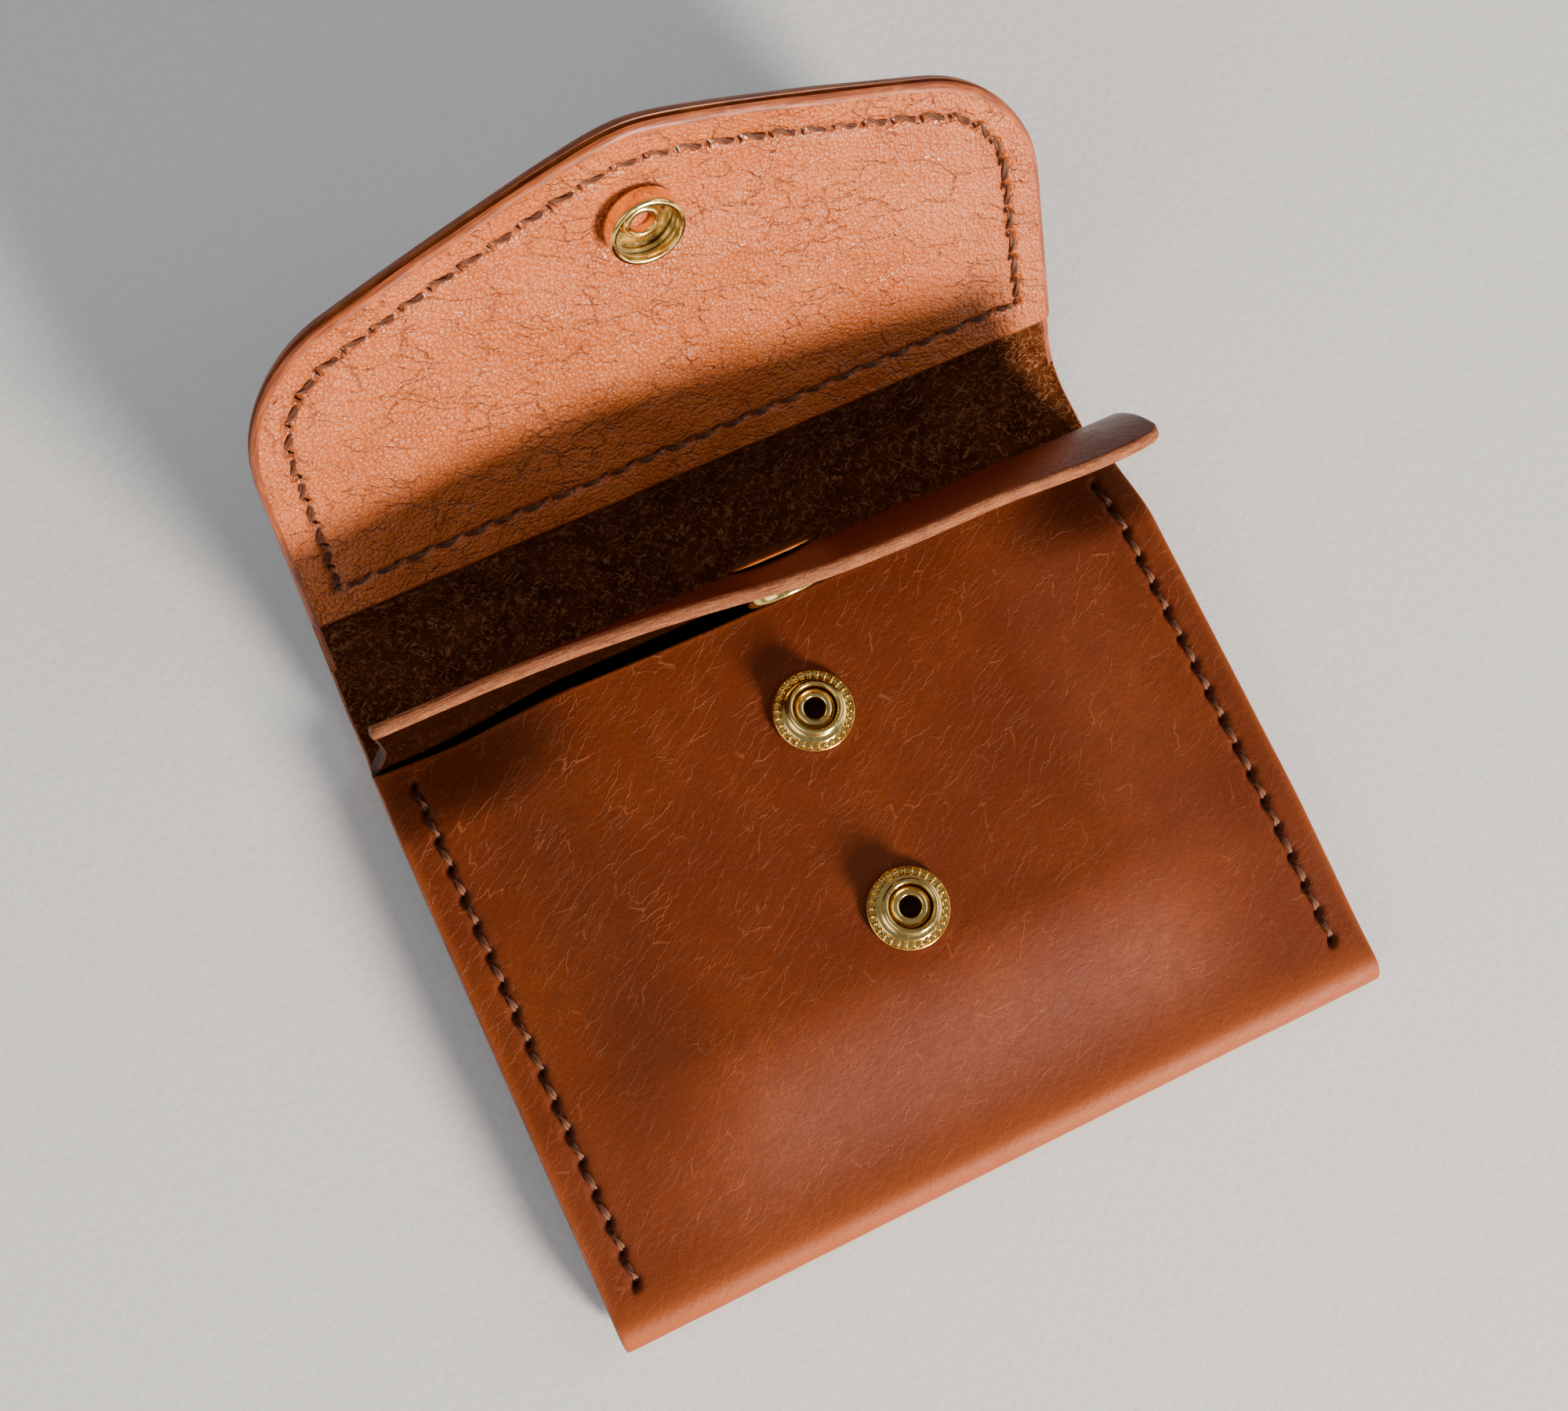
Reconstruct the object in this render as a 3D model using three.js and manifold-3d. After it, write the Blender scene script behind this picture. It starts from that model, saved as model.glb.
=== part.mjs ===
// Card holder with a coin pocket, in millimetres, +Z up, lying on its back panel with both flaps open.
//
// One leather strip is the front panel, the bottom fold, the back panel and the outer flap. A second
// sheet is stitched between front and back: it divides the card pocket from the coin pocket and goes
// on above the mouth as the coin flap. Both flaps close on the front panel with ring snaps.
//
// X runs across the holder, 0 on its centre line. Y is 0 at the bottom fold and grows to the mouth.
// Z is 0 on the flat middle of the back panel. The finished group is moved so that the origin is the
// centre of the back panel's flat face.

import * as THREE from 'three';
import { mergeVertices } from 'three/addons/utils/BufferGeometryUtils.js';
import Module from 'manifold-3d';

const wasm = await Module();
wasm.setup();

const ORIGIN_Y = 40;

// Body
const HALF_WIDTH = 54.2;
const LEATHER = 1.7;
const LINING = 0.8;
const LINING_GAP = 0.2;
const LAYER_GAP = 0.1;
const STACK = 3 * LEATHER + 2 * LAYER_GAP;      // thickness along the stitched side edges
const POCKET = 4.1;                             // clear depth of each pocket at the middle
const DOME = 3 * LEATHER + 2 * POCKET - STACK;  // how much thicker the middle is than the side edges
const FOLD_EXTRA = 1.4;                         // extra thickness at the bottom fold
const FOLD_RADIUS = (STACK + FOLD_EXTRA) / 2;
const EDGE_LIFT = 4;                            // height of the side edges above the back's flat middle
const CORNER_LIFT = 0.8;                        // the same at the bottom fold
const FLAT_HALF = 26;                           // half width of the flat middle
const SEAM_FLAT = 46;                           // beyond this the panels run flat to the side edge
const RISE = 26;                                // length over which the pockets open from the fold up
const SETTLE = 13.4;                            // length over which the side edges settle at the mouth
const DIVIDER_START = 5.2;
const MOUTH = 78.9;
const MOUTH_DIP = 1.6;                          // the front panel's mouth edge is cut hollow by this much
const HINGE_GAP = 0.15;
const FOLD_BEVEL = 0.9;                         // cut from the outside of the strip where the flap folds

// Outer flap: its line from the mouth on, measured on the inner face
const SPINE_FOLD = { y: 80.6, z: LEATHER };     // where the strip folds at the mouth
const FLAP_LINE = [
  { length: 7.6, bend: 0 },
  { length: 10, bend: 64 },
  { length: 43, bend: 0 },
  { length: 23.4, bend: 20 },
];
const SPINE_LENGTH = 22.7;
const LINING_START = 23.5;
const LINING_INSET = 0.4;                       // the lining's end edge lies this far inside the flap's
const SPINE_HALF = 54;
const FLAP_HALF = 51.5;
const TAPER_START = 8;
const TAPER_END = 52;
const FLAP_END = { half: FLAP_HALF, apex: 80.2, slant: 0.35, corner: 13.7 };
const APEX_ROUND = 4;
const FLAP_SNAP = 66.3;

// Coin flap: a riser behind the front panel's mouth edge, then the flap in one gentle forward curve
const RISER_Y = 79.3;                           // front face of the riser
const CREASE_RADIUS = 0.1;                      // inside radius of the divider's upward crease
const COIN_FOLD_Z = 14.6;
const COIN_END = { half: 52, apex: 26.5, slant: 0.16, corner: 4 };
const COIN_CURL = 0.95;                         // degrees of forward lean per millimetre of height
const COIN_SNAP = 17.6;

// Stitching
const SEAM_X = 49.7;
const PITCH = 4;
const FIRST_STITCH = 7.4;
const SEAM_STITCHES = 18;
const FLAP_INSET = 4.8;
const SIDE_STITCHING = 20;                      // the flap's stitching runs straight up its sides this far
const HOLE = 1.1;
const THREAD = 0.7;
const THREAD_RUN = 0.3;                         // the thread's flattened thickness over the leather
const THREAD_CLEAR = 0.2;                       // how far the flattened runs stand off the leather
const RUN_WIDTH = 0.6;
const RUN_OVERHANG = 0.2;                       // pitches by which a seam's run passes its end holes

// Snaps
const STUD_Y = [62, 34.3];                      // upper stud for the coin flap, lower for the outer flap
const SNAP_HOLE_RADIUS = 2;
const SNAP_CUT = 8;                             // the cutter for a cap's hole reaches this far each way
const FLANGE_RECESS_RADIUS = 4.95;
const FLANGE_RECESS = 0.65;
const CUT_REACH = 0.5;                          // how far a cutter stands out past the face it cuts
const TURNS = 16;

const TAN = { color: 0xa8521f, roughness: 0.5, metalness: 0 };
const LINING_TAN = { color: 0xc26a38, roughness: 0.6, metalness: 0 };
const THREAD_BROWN = { color: 0x4a2413, roughness: 0.8, metalness: 0 };
const BRASS = { color: 0xc9a24a, roughness: 0.25, metalness: 1 };
const STEEL = { color: 0xb9b4a4, roughness: 0.3, metalness: 1 };

const radians = THREE.MathUtils.degToRad;

function smooth(t) {
  return THREE.MathUtils.smoothstep(t, 0, 1);
}

// Evenly spaced values, both ends included
function steps(from, to, count) {
  return Array.from({ length: count + 1 }, (_, i) => from + (to - from) * i / count);
}

// Solids --------------------------------------------------------------------------------------------

function closedMesh(geometry) {
  geometry.deleteAttribute('normal');
  geometry.deleteAttribute('uv');
  return mergeVertices(geometry, 1e-4);
}

// A sheet of leather: a box of columns x rows cells whose vertices place() moves to their real place.
// place() gets the column and row, from 0, and whether the vertex is on the box's top face.
function sheet(columns, rows, place) {
  const geometry = new THREE.BoxGeometry(columns, rows, 1, columns, rows, 1);
  const position = geometry.attributes.position;
  for (let i = 0; i < position.count; i++) {
    const column = Math.round(position.getX(i) + columns / 2);
    const row = Math.round(position.getY(i) + rows / 2);
    position.setXYZ(i, ...place(column, row, position.getZ(i) > 0));
  }
  return closedMesh(geometry);
}

function solid(geometry) {
  return new wasm.Manifold(new wasm.Mesh({
    numProp: 3,
    vertProperties: new Float32Array(geometry.attributes.position.array),
    triVerts: new Uint32Array(geometry.index.array),
  }));
}

function geometryOf(manifold) {
  const mesh = manifold.getMesh();
  const geometry = new THREE.BufferGeometry();
  geometry.setAttribute('position', new THREE.BufferAttribute(mesh.vertProperties, 3));
  geometry.setIndex(new THREE.BufferAttribute(mesh.triVerts, 1));
  return geometry;
}

function joined(geometries) {
  return geometries.map(solid).reduce((whole, next) => whole.add(next));
}

function cut(geometry, cutters) {
  return geometryOf(solid(geometry).subtract(joined(cutters)));
}

function disc(radius, from, to) {
  const geometry = new THREE.CylinderGeometry(radius, radius, to - from, TURNS);
  geometry.rotateX(Math.PI / 2);
  geometry.translate(0, 0, (from + to) / 2);
  return closedMesh(geometry);
}

// A turned part about +Z from its [radius, height] outline. The outline starts and ends on the axis,
// or is a ring that closes on itself.
function turned(outline) {
  const points = outline.map(([radius, height]) => new THREE.Vector2(radius, height));
  if (outline[0][0] > 0) {
    points.push(points[0].clone());
  }
  const geometry = new THREE.LatheGeometry(points, TURNS);
  geometry.rotateX(Math.PI / 2);
  return closedMesh(geometry);
}

function bar(width, depth, from, to) {
  const geometry = new THREE.BoxGeometry(width, depth, to - from);
  geometry.translate(0, 0, (from + to) / 2);
  return closedMesh(geometry);
}

function named(name, geometry, finish) {
  const mesh = new THREE.Mesh(geometry, new THREE.MeshStandardMaterial(finish));
  mesh.name = name;
  return mesh;
}

// Body surfaces -------------------------------------------------------------------------------------

// 0 over the flat middle, 1 along the stitched side edges
function edgeShare(x) {
  return smooth((Math.abs(x) - FLAT_HALF) / (SEAM_FLAT - FLAT_HALF));
}

// 0 at the bottom fold, 1 where the pockets are fully open
function openShare(y) {
  return smooth((y - FOLD_RADIUS) / RISE);
}

// The side edges ride up from the bottom corners and settle flat again at the mouth.
function backHeight(x, y) {
  const lift = CORNER_LIFT + (EDGE_LIFT - CORNER_LIFT) * openShare(y);
  return edgeShare(x) * lift * smooth((SPINE_FOLD.y - y) / SETTLE);
}

function bodyThickness(x, y) {
  const open = openShare(y);
  return STACK + (1 - edgeShare(x)) * DOME * open + FOLD_EXTRA * (1 - open);
}

function frontHeight(x, y) {
  return backHeight(x, y) + bodyThickness(x, y);
}

function dividerHeight(x, y) {
  return backHeight(x, y) + (bodyThickness(x, y) - LEATHER) / 2;
}

function mouthEdge(x) {
  return MOUTH - MOUTH_DIP * (1 - (x / HALF_WIDTH) ** 2);
}

const flank = [30, 34, 38, 42].flatMap((x) => [-x, x]);
const COLUMNS = [-HALF_WIDTH, -SEAM_FLAT, -FLAT_HALF, -13, 0, 13, FLAT_HALF, SEAM_FLAT, HALF_WIDTH, ...flank]
  .sort((a, b) => a - b);
const RISE_ROWS = steps(FOLD_RADIUS, FOLD_RADIUS + RISE, 6);
const SETTLE_ROWS = steps(SPINE_FOLD.y - SETTLE, SPINE_FOLD.y - SETTLE / 4, 3);
const PANEL_ROWS = [...RISE_ROWS, ...SETTLE_ROWS];

// Main leather strip --------------------------------------------------------------------------------

function stripSection() {
  const foldSteps = 8;
  const back = [...PANEL_ROWS, SPINE_FOLD.y - HINGE_GAP];
  const front = [...PANEL_ROWS].reverse();
  return [
    { part: 'mouth' },
    ...front.map((y) => ({ part: 'front', y })),
    ...steps(Math.PI / foldSteps, Math.PI * (foldSteps - 1) / foldSteps, foldSteps - 2)
      .map((turn) => ({ part: 'fold', turn })),
    ...back.map((y) => ({ part: 'back', y })),
  ];
}

function stripPoint(x, station, outer) {
  if (station.part === 'fold') {
    const radius = outer ? FOLD_RADIUS : FOLD_RADIUS - LEATHER;
    const centre = backHeight(x, FOLD_RADIUS) + FOLD_RADIUS;
    return [x, FOLD_RADIUS - radius * Math.sin(station.turn), centre + radius * Math.cos(station.turn)];
  }
  if (station.part === 'back') {
    return [x, station.y, backHeight(x, station.y) + (outer ? 0 : LEATHER)];
  }
  const y = station.part === 'mouth' ? mouthEdge(x) : station.y;
  return [x, y, frontHeight(x, y) - (outer ? 0 : LEATHER)];
}

function mainShell() {
  const section = stripSection();
  return sheet(COLUMNS.length - 1, section.length - 1,
    (column, row, top) => stripPoint(COLUMNS[column], section[section.length - 1 - row], top));
}

// Outer flap ----------------------------------------------------------------------------------------

// The place and slope of the flap's inner face at a distance from the mouth, walking along its arcs.
function alongFlap(distance) {
  let { y, z } = SPINE_FOLD;
  let slope = 0;
  let left = distance;
  for (const { length, bend } of FLAP_LINE) {
    const step = Math.min(left, length);
    const turn = radians(bend) * step / length;
    const chord = turn > 0 ? 2 * step / turn * Math.sin(turn / 2) : step;
    y += chord * Math.cos(slope + turn / 2);
    z += chord * Math.sin(slope + turn / 2);
    slope += turn;
    left -= step;
  }
  return { y, z, slope };
}

function flapPoint(x, distance, height) {
  const { y, z, slope } = alongFlap(distance);
  return [x, y - height * Math.sin(slope), z + height * Math.cos(slope)];
}

function flapHalf(distance) {
  const taper = THREE.MathUtils.clamp((distance - TAPER_START) / (TAPER_END - TAPER_START), 0, 1);
  return SPINE_HALF + (FLAP_HALF - SPINE_HALF) * taper;
}

// How far up a flap's end edge lies at a distance across from the centre line: slanted edges that meet
// in a rounded apex, with rounded outer corners.
function endEdge({ half, apex, slant, corner }, x) {
  const line = apex - slant * (Math.hypot(x, APEX_ROUND) - APEX_ROUND);
  const past = Math.max(Math.abs(x) - (half - corner), 0);
  return line - corner + Math.sqrt(Math.max(corner ** 2 - past ** 2, 0));
}

// Columns across a flap, closer together round its outer corners
function endColumns({ half, corner }, inner) {
  const round = steps(0, Math.PI / 2, 4).map((turn) => half - corner + corner * Math.sin(turn));
  const side = [...inner, ...round];
  return [...side.map((x) => -x), 0, ...side].sort((a, b) => a - b);
}

const FLAP_COLUMNS = endColumns(FLAP_END, [4, 12, 26]);

// A layer of the flap between two heights above the inner face of the main leather. Both layers have
// their rows at the same distances, so that they bend alike.
function flapLayer(start, inset, low, high) {
  const rows = 10;
  return sheet(FLAP_COLUMNS.length - 1, rows, (column, row, top) => {
    const across = FLAP_COLUMNS[column];
    const end = endEdge(FLAP_END, across);
    const even = SPINE_LENGTH + (end - SPINE_LENGTH) * row / rows;
    const distance = THREE.MathUtils.clamp(even, start, end - inset);
    const x = across * (flapHalf(distance) - inset) / FLAP_HALF;
    const bevel = row === 0 && !top && low < 0 ? FOLD_BEVEL : 0;
    return flapPoint(x, distance + bevel, top ? high : low);
  });
}

function spine() {
  const bend = steps(FLAP_LINE[0].length, FLAP_LINE[0].length + FLAP_LINE[1].length, 5);
  const stations = [HINGE_GAP, ...bend, SPINE_LENGTH - HINGE_GAP];
  return sheet(1, stations.length - 1, (column, row, top) => {
    const bevel = row === stations.length - 1 && !top ? FOLD_BEVEL : 0;
    const distance = stations[row] - bevel;
    return flapPoint((2 * column - 1) * flapHalf(distance), distance, top ? 0 : -LEATHER);
  });
}

// Coin flap and divider -----------------------------------------------------------------------------

// depth is measured back from the coin flap's front face
function coinPoint(x, height, depth) {
  const lean = radians(COIN_CURL * height);
  const radius = 1 / radians(COIN_CURL);
  const y = RISER_Y - radius * (1 - Math.cos(lean));
  const z = COIN_FOLD_Z + radius * Math.sin(lean);
  return [x, y + depth * Math.cos(lean), z + depth * Math.sin(lean)];
}

const COIN_COLUMNS = endColumns(COIN_END, [4, 16, 32]);

function coinFlap() {
  const rows = 5;
  return sheet(COIN_COLUMNS.length - 1, rows, (column, row, top) => {
    const x = COIN_COLUMNS[column];
    const height = HINGE_GAP + (endEdge(COIN_END, x) - HINGE_GAP) * row / rows;
    return coinPoint(x, height, top ? 0 : LEATHER);
  });
}

function dividerPoint(x, station, top) {
  if (station.part === 'flat') {
    return [x, station.y, dividerHeight(x, station.y) + (top ? LEATHER : 0)];
  }
  if (station.part === 'crease') {
    const radius = CREASE_RADIUS + (top ? 0 : LEATHER);
    const centre = dividerHeight(x, MOUTH) + LEATHER + CREASE_RADIUS;
    const y = RISER_Y - CREASE_RADIUS + radius * Math.sin(station.turn);
    return [x, y, centre - radius * Math.cos(station.turn)];
  }
  return [x, RISER_Y + (top ? 0 : LEATHER), COIN_FOLD_Z - HINGE_GAP];
}

function divider() {
  const stations = [
    ...[DIVIDER_START, ...PANEL_ROWS.slice(1)].map((y) => ({ part: 'flat', y })),
    ...steps(0, Math.PI / 2, 3).map((turn) => ({ part: 'crease', turn })),
    { part: 'riser' },
  ];
  return sheet(COLUMNS.length - 1, stations.length - 1,
    (column, row, top) => dividerPoint(COLUMNS[column], stations[row], top));
}

// Stitching -----------------------------------------------------------------------------------------

const SEAM_ROWS = steps(FIRST_STITCH, FIRST_STITCH + PITCH * (SEAM_STITCHES - 1), SEAM_STITCHES - 1);

function seamBars(x, width, reach) {
  return SEAM_ROWS.map((y) => {
    const geometry = bar(width, width, backHeight(x, y) - reach, frontHeight(x, y) + reach);
    geometry.translate(x, y, 0);
    return geometry;
  });
}

// A run of thread over one face, from just before the first hole to just after the last
function seamRun(x, surface, low, high) {
  const last = SEAM_STITCHES - 1 + RUN_OVERHANG;
  return sheet(1, SEAM_STITCHES, (column, row, top) => {
    const y = SEAM_ROWS[0] + PITCH * THREE.MathUtils.clamp(row - 0.5, -RUN_OVERHANG, last);
    return [x + RUN_WIDTH * (column - 0.5), y, surface(x, y) + (top ? high : low)];
  });
}

function seamThread(x) {
  const outer = THREAD_CLEAR + THREAD_RUN;
  return geometryOf(joined([
    ...seamBars(x, THREAD, THREAD_CLEAR + THREAD_RUN / 3),
    seamRun(x, frontHeight, THREAD_CLEAR, outer),
    seamRun(x, backHeight, -outer, -THREAD_CLEAR),
  ]));
}

// The stitch holes of the flap in its flat pattern: up one side, round the slanted end, down the other
// side, then back along the lining's lower edge.
function flapStitches() {
  const inside = {
    half: FLAP_END.half - FLAP_INSET,
    apex: FLAP_END.apex - FLAP_INSET * Math.hypot(1, FLAP_END.slant),
    slant: FLAP_END.slant,
    corner: FLAP_END.corner - FLAP_INSET,
  };
  const start = LINING_START + FLAP_INSET;
  const lowHalf = flapHalf(start) - FLAP_INSET;
  const left = new THREE.Vector3(-lowHalf, start, 0);
  const right = new THREE.Vector3(lowHalf, start, 0);
  const around = new THREE.CatmullRomCurve3([
    left,
    new THREE.Vector3(-inside.half, start + SIDE_STITCHING, 0),
    ...endColumns(inside, [6, 20, 33]).map((x) => new THREE.Vector3(x, endEdge(inside, x), 0)),
    new THREE.Vector3(inside.half, start + SIDE_STITCHING, 0),
    right,
  ], false, 'centripetal');
  const across = new THREE.LineCurve3(right, left);
  return [around, across].flatMap((curve) => {
    const count = Math.round(curve.getLength() / PITCH);
    return curve.getSpacedPoints(count).slice(0, count);
  });
}

const STITCHES = flapStitches();

function flapBars(width, low, high) {
  return STITCHES.map(({ x, y }) => {
    const geometry = bar(width, width, low, high);
    geometry.rotateX(alongFlap(y).slope);
    geometry.translate(...flapPoint(x, y, 0));
    return geometry;
  });
}

// A run of thread over one face, from the first hole to the last
function flapRun(low, high) {
  const last = STITCHES.length - 1;
  return sheet(last, 1, (column, row, top) => {
    const { x, y } = STITCHES[column];
    const from = STITCHES[Math.max(column - 1, 0)];
    const to = STITCHES[Math.min(column + 1, last)];
    const across = new THREE.Vector2(from.y - to.y, to.x - from.x).setLength(RUN_WIDTH * (row - 0.5));
    return flapPoint(x + across.x, y + across.y, top ? high : low);
  });
}

function flapThread() {
  const front = LINING_GAP + LINING + THREAD_CLEAR;
  const back = -LEATHER - THREAD_CLEAR;
  return geometryOf(joined([
    ...flapBars(THREAD, back - THREAD_RUN / 3, front + THREAD_RUN / 3),
    flapRun(front, front + THREAD_RUN),
    flapRun(back - THREAD_RUN, back),
  ]));
}

// Snaps: +Z is the side that mates, 0 is the leather's face on that side -----------------------------

function stud() {
  return turned([
    [1.95, 0.1], [5.35, 0.1], [5.35, 0.6], [3.5, 0.8], [3.05, 1.2], [3.05, 1.9],
    [3.6, 2.15], [3.6, 2.7], [3.3, 3], [2.8, 3], [2.8, 1.6], [1.95, 1.6],
  ]);
}

// The eyelet that holds a stud: a flange let into the back of the leather and a rolled tube
function studPost() {
  const back = -LEATHER + 0.05;
  return turned([
    [1.35, back], [4.7, back], [4.7, back + 0.5], [1.7, back + 0.5], [1.7, 1.8],
    [2.4, 1.8], [2.4, 2.15], [2, 2.4], [1.35, 2.3],
  ]);
}

function socket() {
  return turned([
    [1.95, 0.3], [4.4, 0.3], [4.7, 0.6], [4.7, 2.7], [4.4, 3.1], [3.95, 3.1],
    [3.85, 2.8], [3.85, 2.2], [4.25, 2], [4.25, 0.8], [1.95, 0.7],
  ]);
}

// The split ring of flat wire inside a socket that grips the stud's head
function socketSpring() {
  const opening = radians(24);
  const ring = new THREE.Shape();
  ring.absarc(0, 0, 4.1, opening / 2, 2 * Math.PI - opening / 2, false);
  ring.absarc(0, 0, 3.74, 2 * Math.PI - opening / 2, opening / 2, true);
  const wire = { depth: 0.5, bevelEnabled: false, curveSegments: TURNS };
  const geometry = new THREE.ExtrudeGeometry(ring, wire);
  geometry.translate(0, 0, 1.1);
  return closedMesh(geometry);
}

// thickness is that of all the leather the post passes through
function snapPost(thickness) {
  const back = -thickness - 0.2;
  return turned([
    [0, back - 0.2], [4.5, back - 0.2], [4.5, back], [1.7, back], [1.7, 0.9],
    [2.3, 0.9], [2.3, 1.15], [1.9, 1.3], [1.35, 1.2], [1.35, back + 0.3], [0, back + 0.3],
  ]);
}

function snapCap(thickness) {
  const back = -thickness - 0.2;
  return turned([
    [0, back - 0.68], [2.5, back - 0.65], [4.4, back - 0.5], [5.4, back - 0.15],
    [5.4, back], [4.8, back], [4.8, back - 0.32], [0, back - 0.35],
  ]);
}

// A cap, post, socket and spring on one place of a flap
function capSet(prefix, place, slope, thickness) {
  const group = new THREE.Group();
  group.add(
    named(`${prefix}_snap_cap`, snapCap(thickness), BRASS),
    named(`${prefix}_snap_post`, snapPost(thickness), BRASS),
    named(`${prefix}_snap_socket`, socket(), BRASS),
    named(`${prefix}_snap_spring`, socketSpring(), STEEL),
  );
  group.position.set(...place);
  group.rotation.x = slope;
  return group;
}

function snapHole(place, slope) {
  const geometry = disc(SNAP_HOLE_RADIUS, -SNAP_CUT, SNAP_CUT);
  geometry.rotateX(slope);
  geometry.translate(...place);
  return geometry;
}

// A hole through the front panel for a stud's tube, and a recess in its back for the flange
function studCutters(y) {
  const face = frontHeight(0, y);
  const back = face - LEATHER;
  const tube = disc(SNAP_HOLE_RADIUS, back - CUT_REACH, face + CUT_REACH);
  const recess = disc(FLANGE_RECESS_RADIUS, back - CUT_REACH, back + FLANGE_RECESS);
  return [tube, recess].map((geometry) => geometry.translate(0, y, 0));
}

// Assembly ------------------------------------------------------------------------------------------

const seamHoles = [-SEAM_X, SEAM_X].flatMap((x) => seamBars(x, HOLE, 1));
const flapHoles = flapBars(HOLE, -LEATHER - 1, LINING + 1);
const flapSnapPlace = flapPoint(0, FLAP_SNAP, LINING_GAP + LINING);
const flapSnapSlope = alongFlap(FLAP_SNAP).slope;
const coinSnapPlace = coinPoint(0, COIN_SNAP, 0);
const coinSnapSlope = Math.PI / 2 + radians(COIN_CURL * COIN_SNAP);
const flapHole = snapHole(flapSnapPlace, flapSnapSlope);
const coinHole = snapHole(coinSnapPlace, coinSnapSlope);

const outerFlap = flapLayer(SPINE_LENGTH + HINGE_GAP, 0, -LEATHER, 0);
const flapLining = flapLayer(LINING_START, LINING_INSET, LINING_GAP, LINING_GAP + LINING);

const holder = new THREE.Group();
holder.position.y = -ORIGIN_Y;
holder.add(
  named('main_shell', cut(mainShell(), [...seamHoles, ...STUD_Y.flatMap(studCutters)]), TAN),
  named('divider_panel', cut(divider(), seamHoles), TAN),
  named('left_seam_thread', seamThread(-SEAM_X), THREAD_BROWN),
  named('right_seam_thread', seamThread(SEAM_X), THREAD_BROWN),
  named('flap_spine', spine(), TAN),
  named('outer_flap', cut(outerFlap, [...flapHoles, flapHole]), TAN),
  named('flap_lining', cut(flapLining, [...flapHoles, flapHole]), LINING_TAN),
  named('flap_seam_thread', flapThread(), THREAD_BROWN),
  named('coin_flap', cut(coinFlap(), [coinHole]), TAN),
  capSet('flap', flapSnapPlace, flapSnapSlope, LEATHER + LINING_GAP + LINING),
  capSet('coin', coinSnapPlace, coinSnapSlope, LEATHER),
);

['upper', 'lower'].forEach((level, i) => {
  const pair = new THREE.Group();
  pair.add(named(`${level}_stud`, stud(), BRASS), named(`${level}_stud_post`, studPost(), BRASS));
  pair.position.set(0, STUD_Y[i], frontHeight(0, STUD_Y[i]));
  holder.add(pair);
});

export default holder;
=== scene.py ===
"""Looks for the leather card holder: leather, suede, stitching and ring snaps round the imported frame.

Shapes are worked out in millimetres with Y = 0 at the bottom fold, as the CAD part does, and turned
into metres in the row frame when a mesh is made.

A piece of leather is drawn flat first, in pattern coordinates: x across the holder, s along the
leather and depth into it from its outer face. A place function then bends the pattern into space.
"""

import math

import bmesh
import bpy
import numpy as np
from mathutils import Matrix, Quaternion, Vector, noise


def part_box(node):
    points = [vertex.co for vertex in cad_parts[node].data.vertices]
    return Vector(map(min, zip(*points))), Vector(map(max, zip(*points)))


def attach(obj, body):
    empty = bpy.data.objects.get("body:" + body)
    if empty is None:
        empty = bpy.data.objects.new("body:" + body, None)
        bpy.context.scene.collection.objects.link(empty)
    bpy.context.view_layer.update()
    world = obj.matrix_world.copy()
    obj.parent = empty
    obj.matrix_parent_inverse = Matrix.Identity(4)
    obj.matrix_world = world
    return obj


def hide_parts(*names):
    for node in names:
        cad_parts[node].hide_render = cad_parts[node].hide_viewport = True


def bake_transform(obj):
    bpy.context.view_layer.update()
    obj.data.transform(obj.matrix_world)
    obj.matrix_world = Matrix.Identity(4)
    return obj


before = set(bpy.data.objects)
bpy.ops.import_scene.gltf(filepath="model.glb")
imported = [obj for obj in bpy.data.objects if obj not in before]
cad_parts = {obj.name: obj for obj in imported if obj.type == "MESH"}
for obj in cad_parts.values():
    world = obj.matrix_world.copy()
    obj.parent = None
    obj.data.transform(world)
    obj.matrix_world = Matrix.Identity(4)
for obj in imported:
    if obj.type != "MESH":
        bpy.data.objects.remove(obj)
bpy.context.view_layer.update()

MM = 0.001


def box_mm(node):
    """The low and high corners of a frame node's box, in millimetres."""
    low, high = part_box(node)
    return np.array(low) / MM, np.array(high) / MM


SHELL_LOW, SHELL_HIGH = box_mm("main_shell")
ORIGIN = np.array([0.0, -SHELL_LOW[1], 0.0])  # the row frame's origin, with Y = 0 at the bottom fold


def row_point(x, y, z):
    """A point in millimetres, with Y = 0 at the bottom fold, as one in the row frame."""
    return tuple((np.array([x, y, z]) - ORIGIN) * MM)


# Body
HALF_WIDTH = SHELL_HIGH[0]
LEATHER = 1.7  # thickness of the strip and of the divider
LINING = 0.8  # thickness of the flap's lining
LINING_GAP = 0.2  # and of the glue under it
STACK = 5.3  # thickness of the three layers at a side seam
FRONT_TOP = SHELL_HIGH[2]  # height of the front panel's middle
FOLD_EXTRA = 1.4  # how much thicker the body is at the bottom fold
FOLD_RADIUS = (STACK + FOLD_EXTRA) / 2
EDGE_LIFT = 4.0  # how far the side edges lift off the table
CORNER_LIFT = 0.8  # and how far they do at the bottom corners
FLAT_HALF = 26.0  # the body is fullest within this of its middle
SEAM_FLAT = 46.0  # and pressed flat beyond this
RISE = 26.0  # length over which the body opens above the fold
SETTLE = 13.4  # length over which the edges come down at the mouth
MOUTH = 78.9  # height of the front panel's upper corners
MOUTH_DIP = 1.6  # and how far its edge dips between them
SPINE_FOLD_Y = 80.6  # height of the fold where the spine starts

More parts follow.
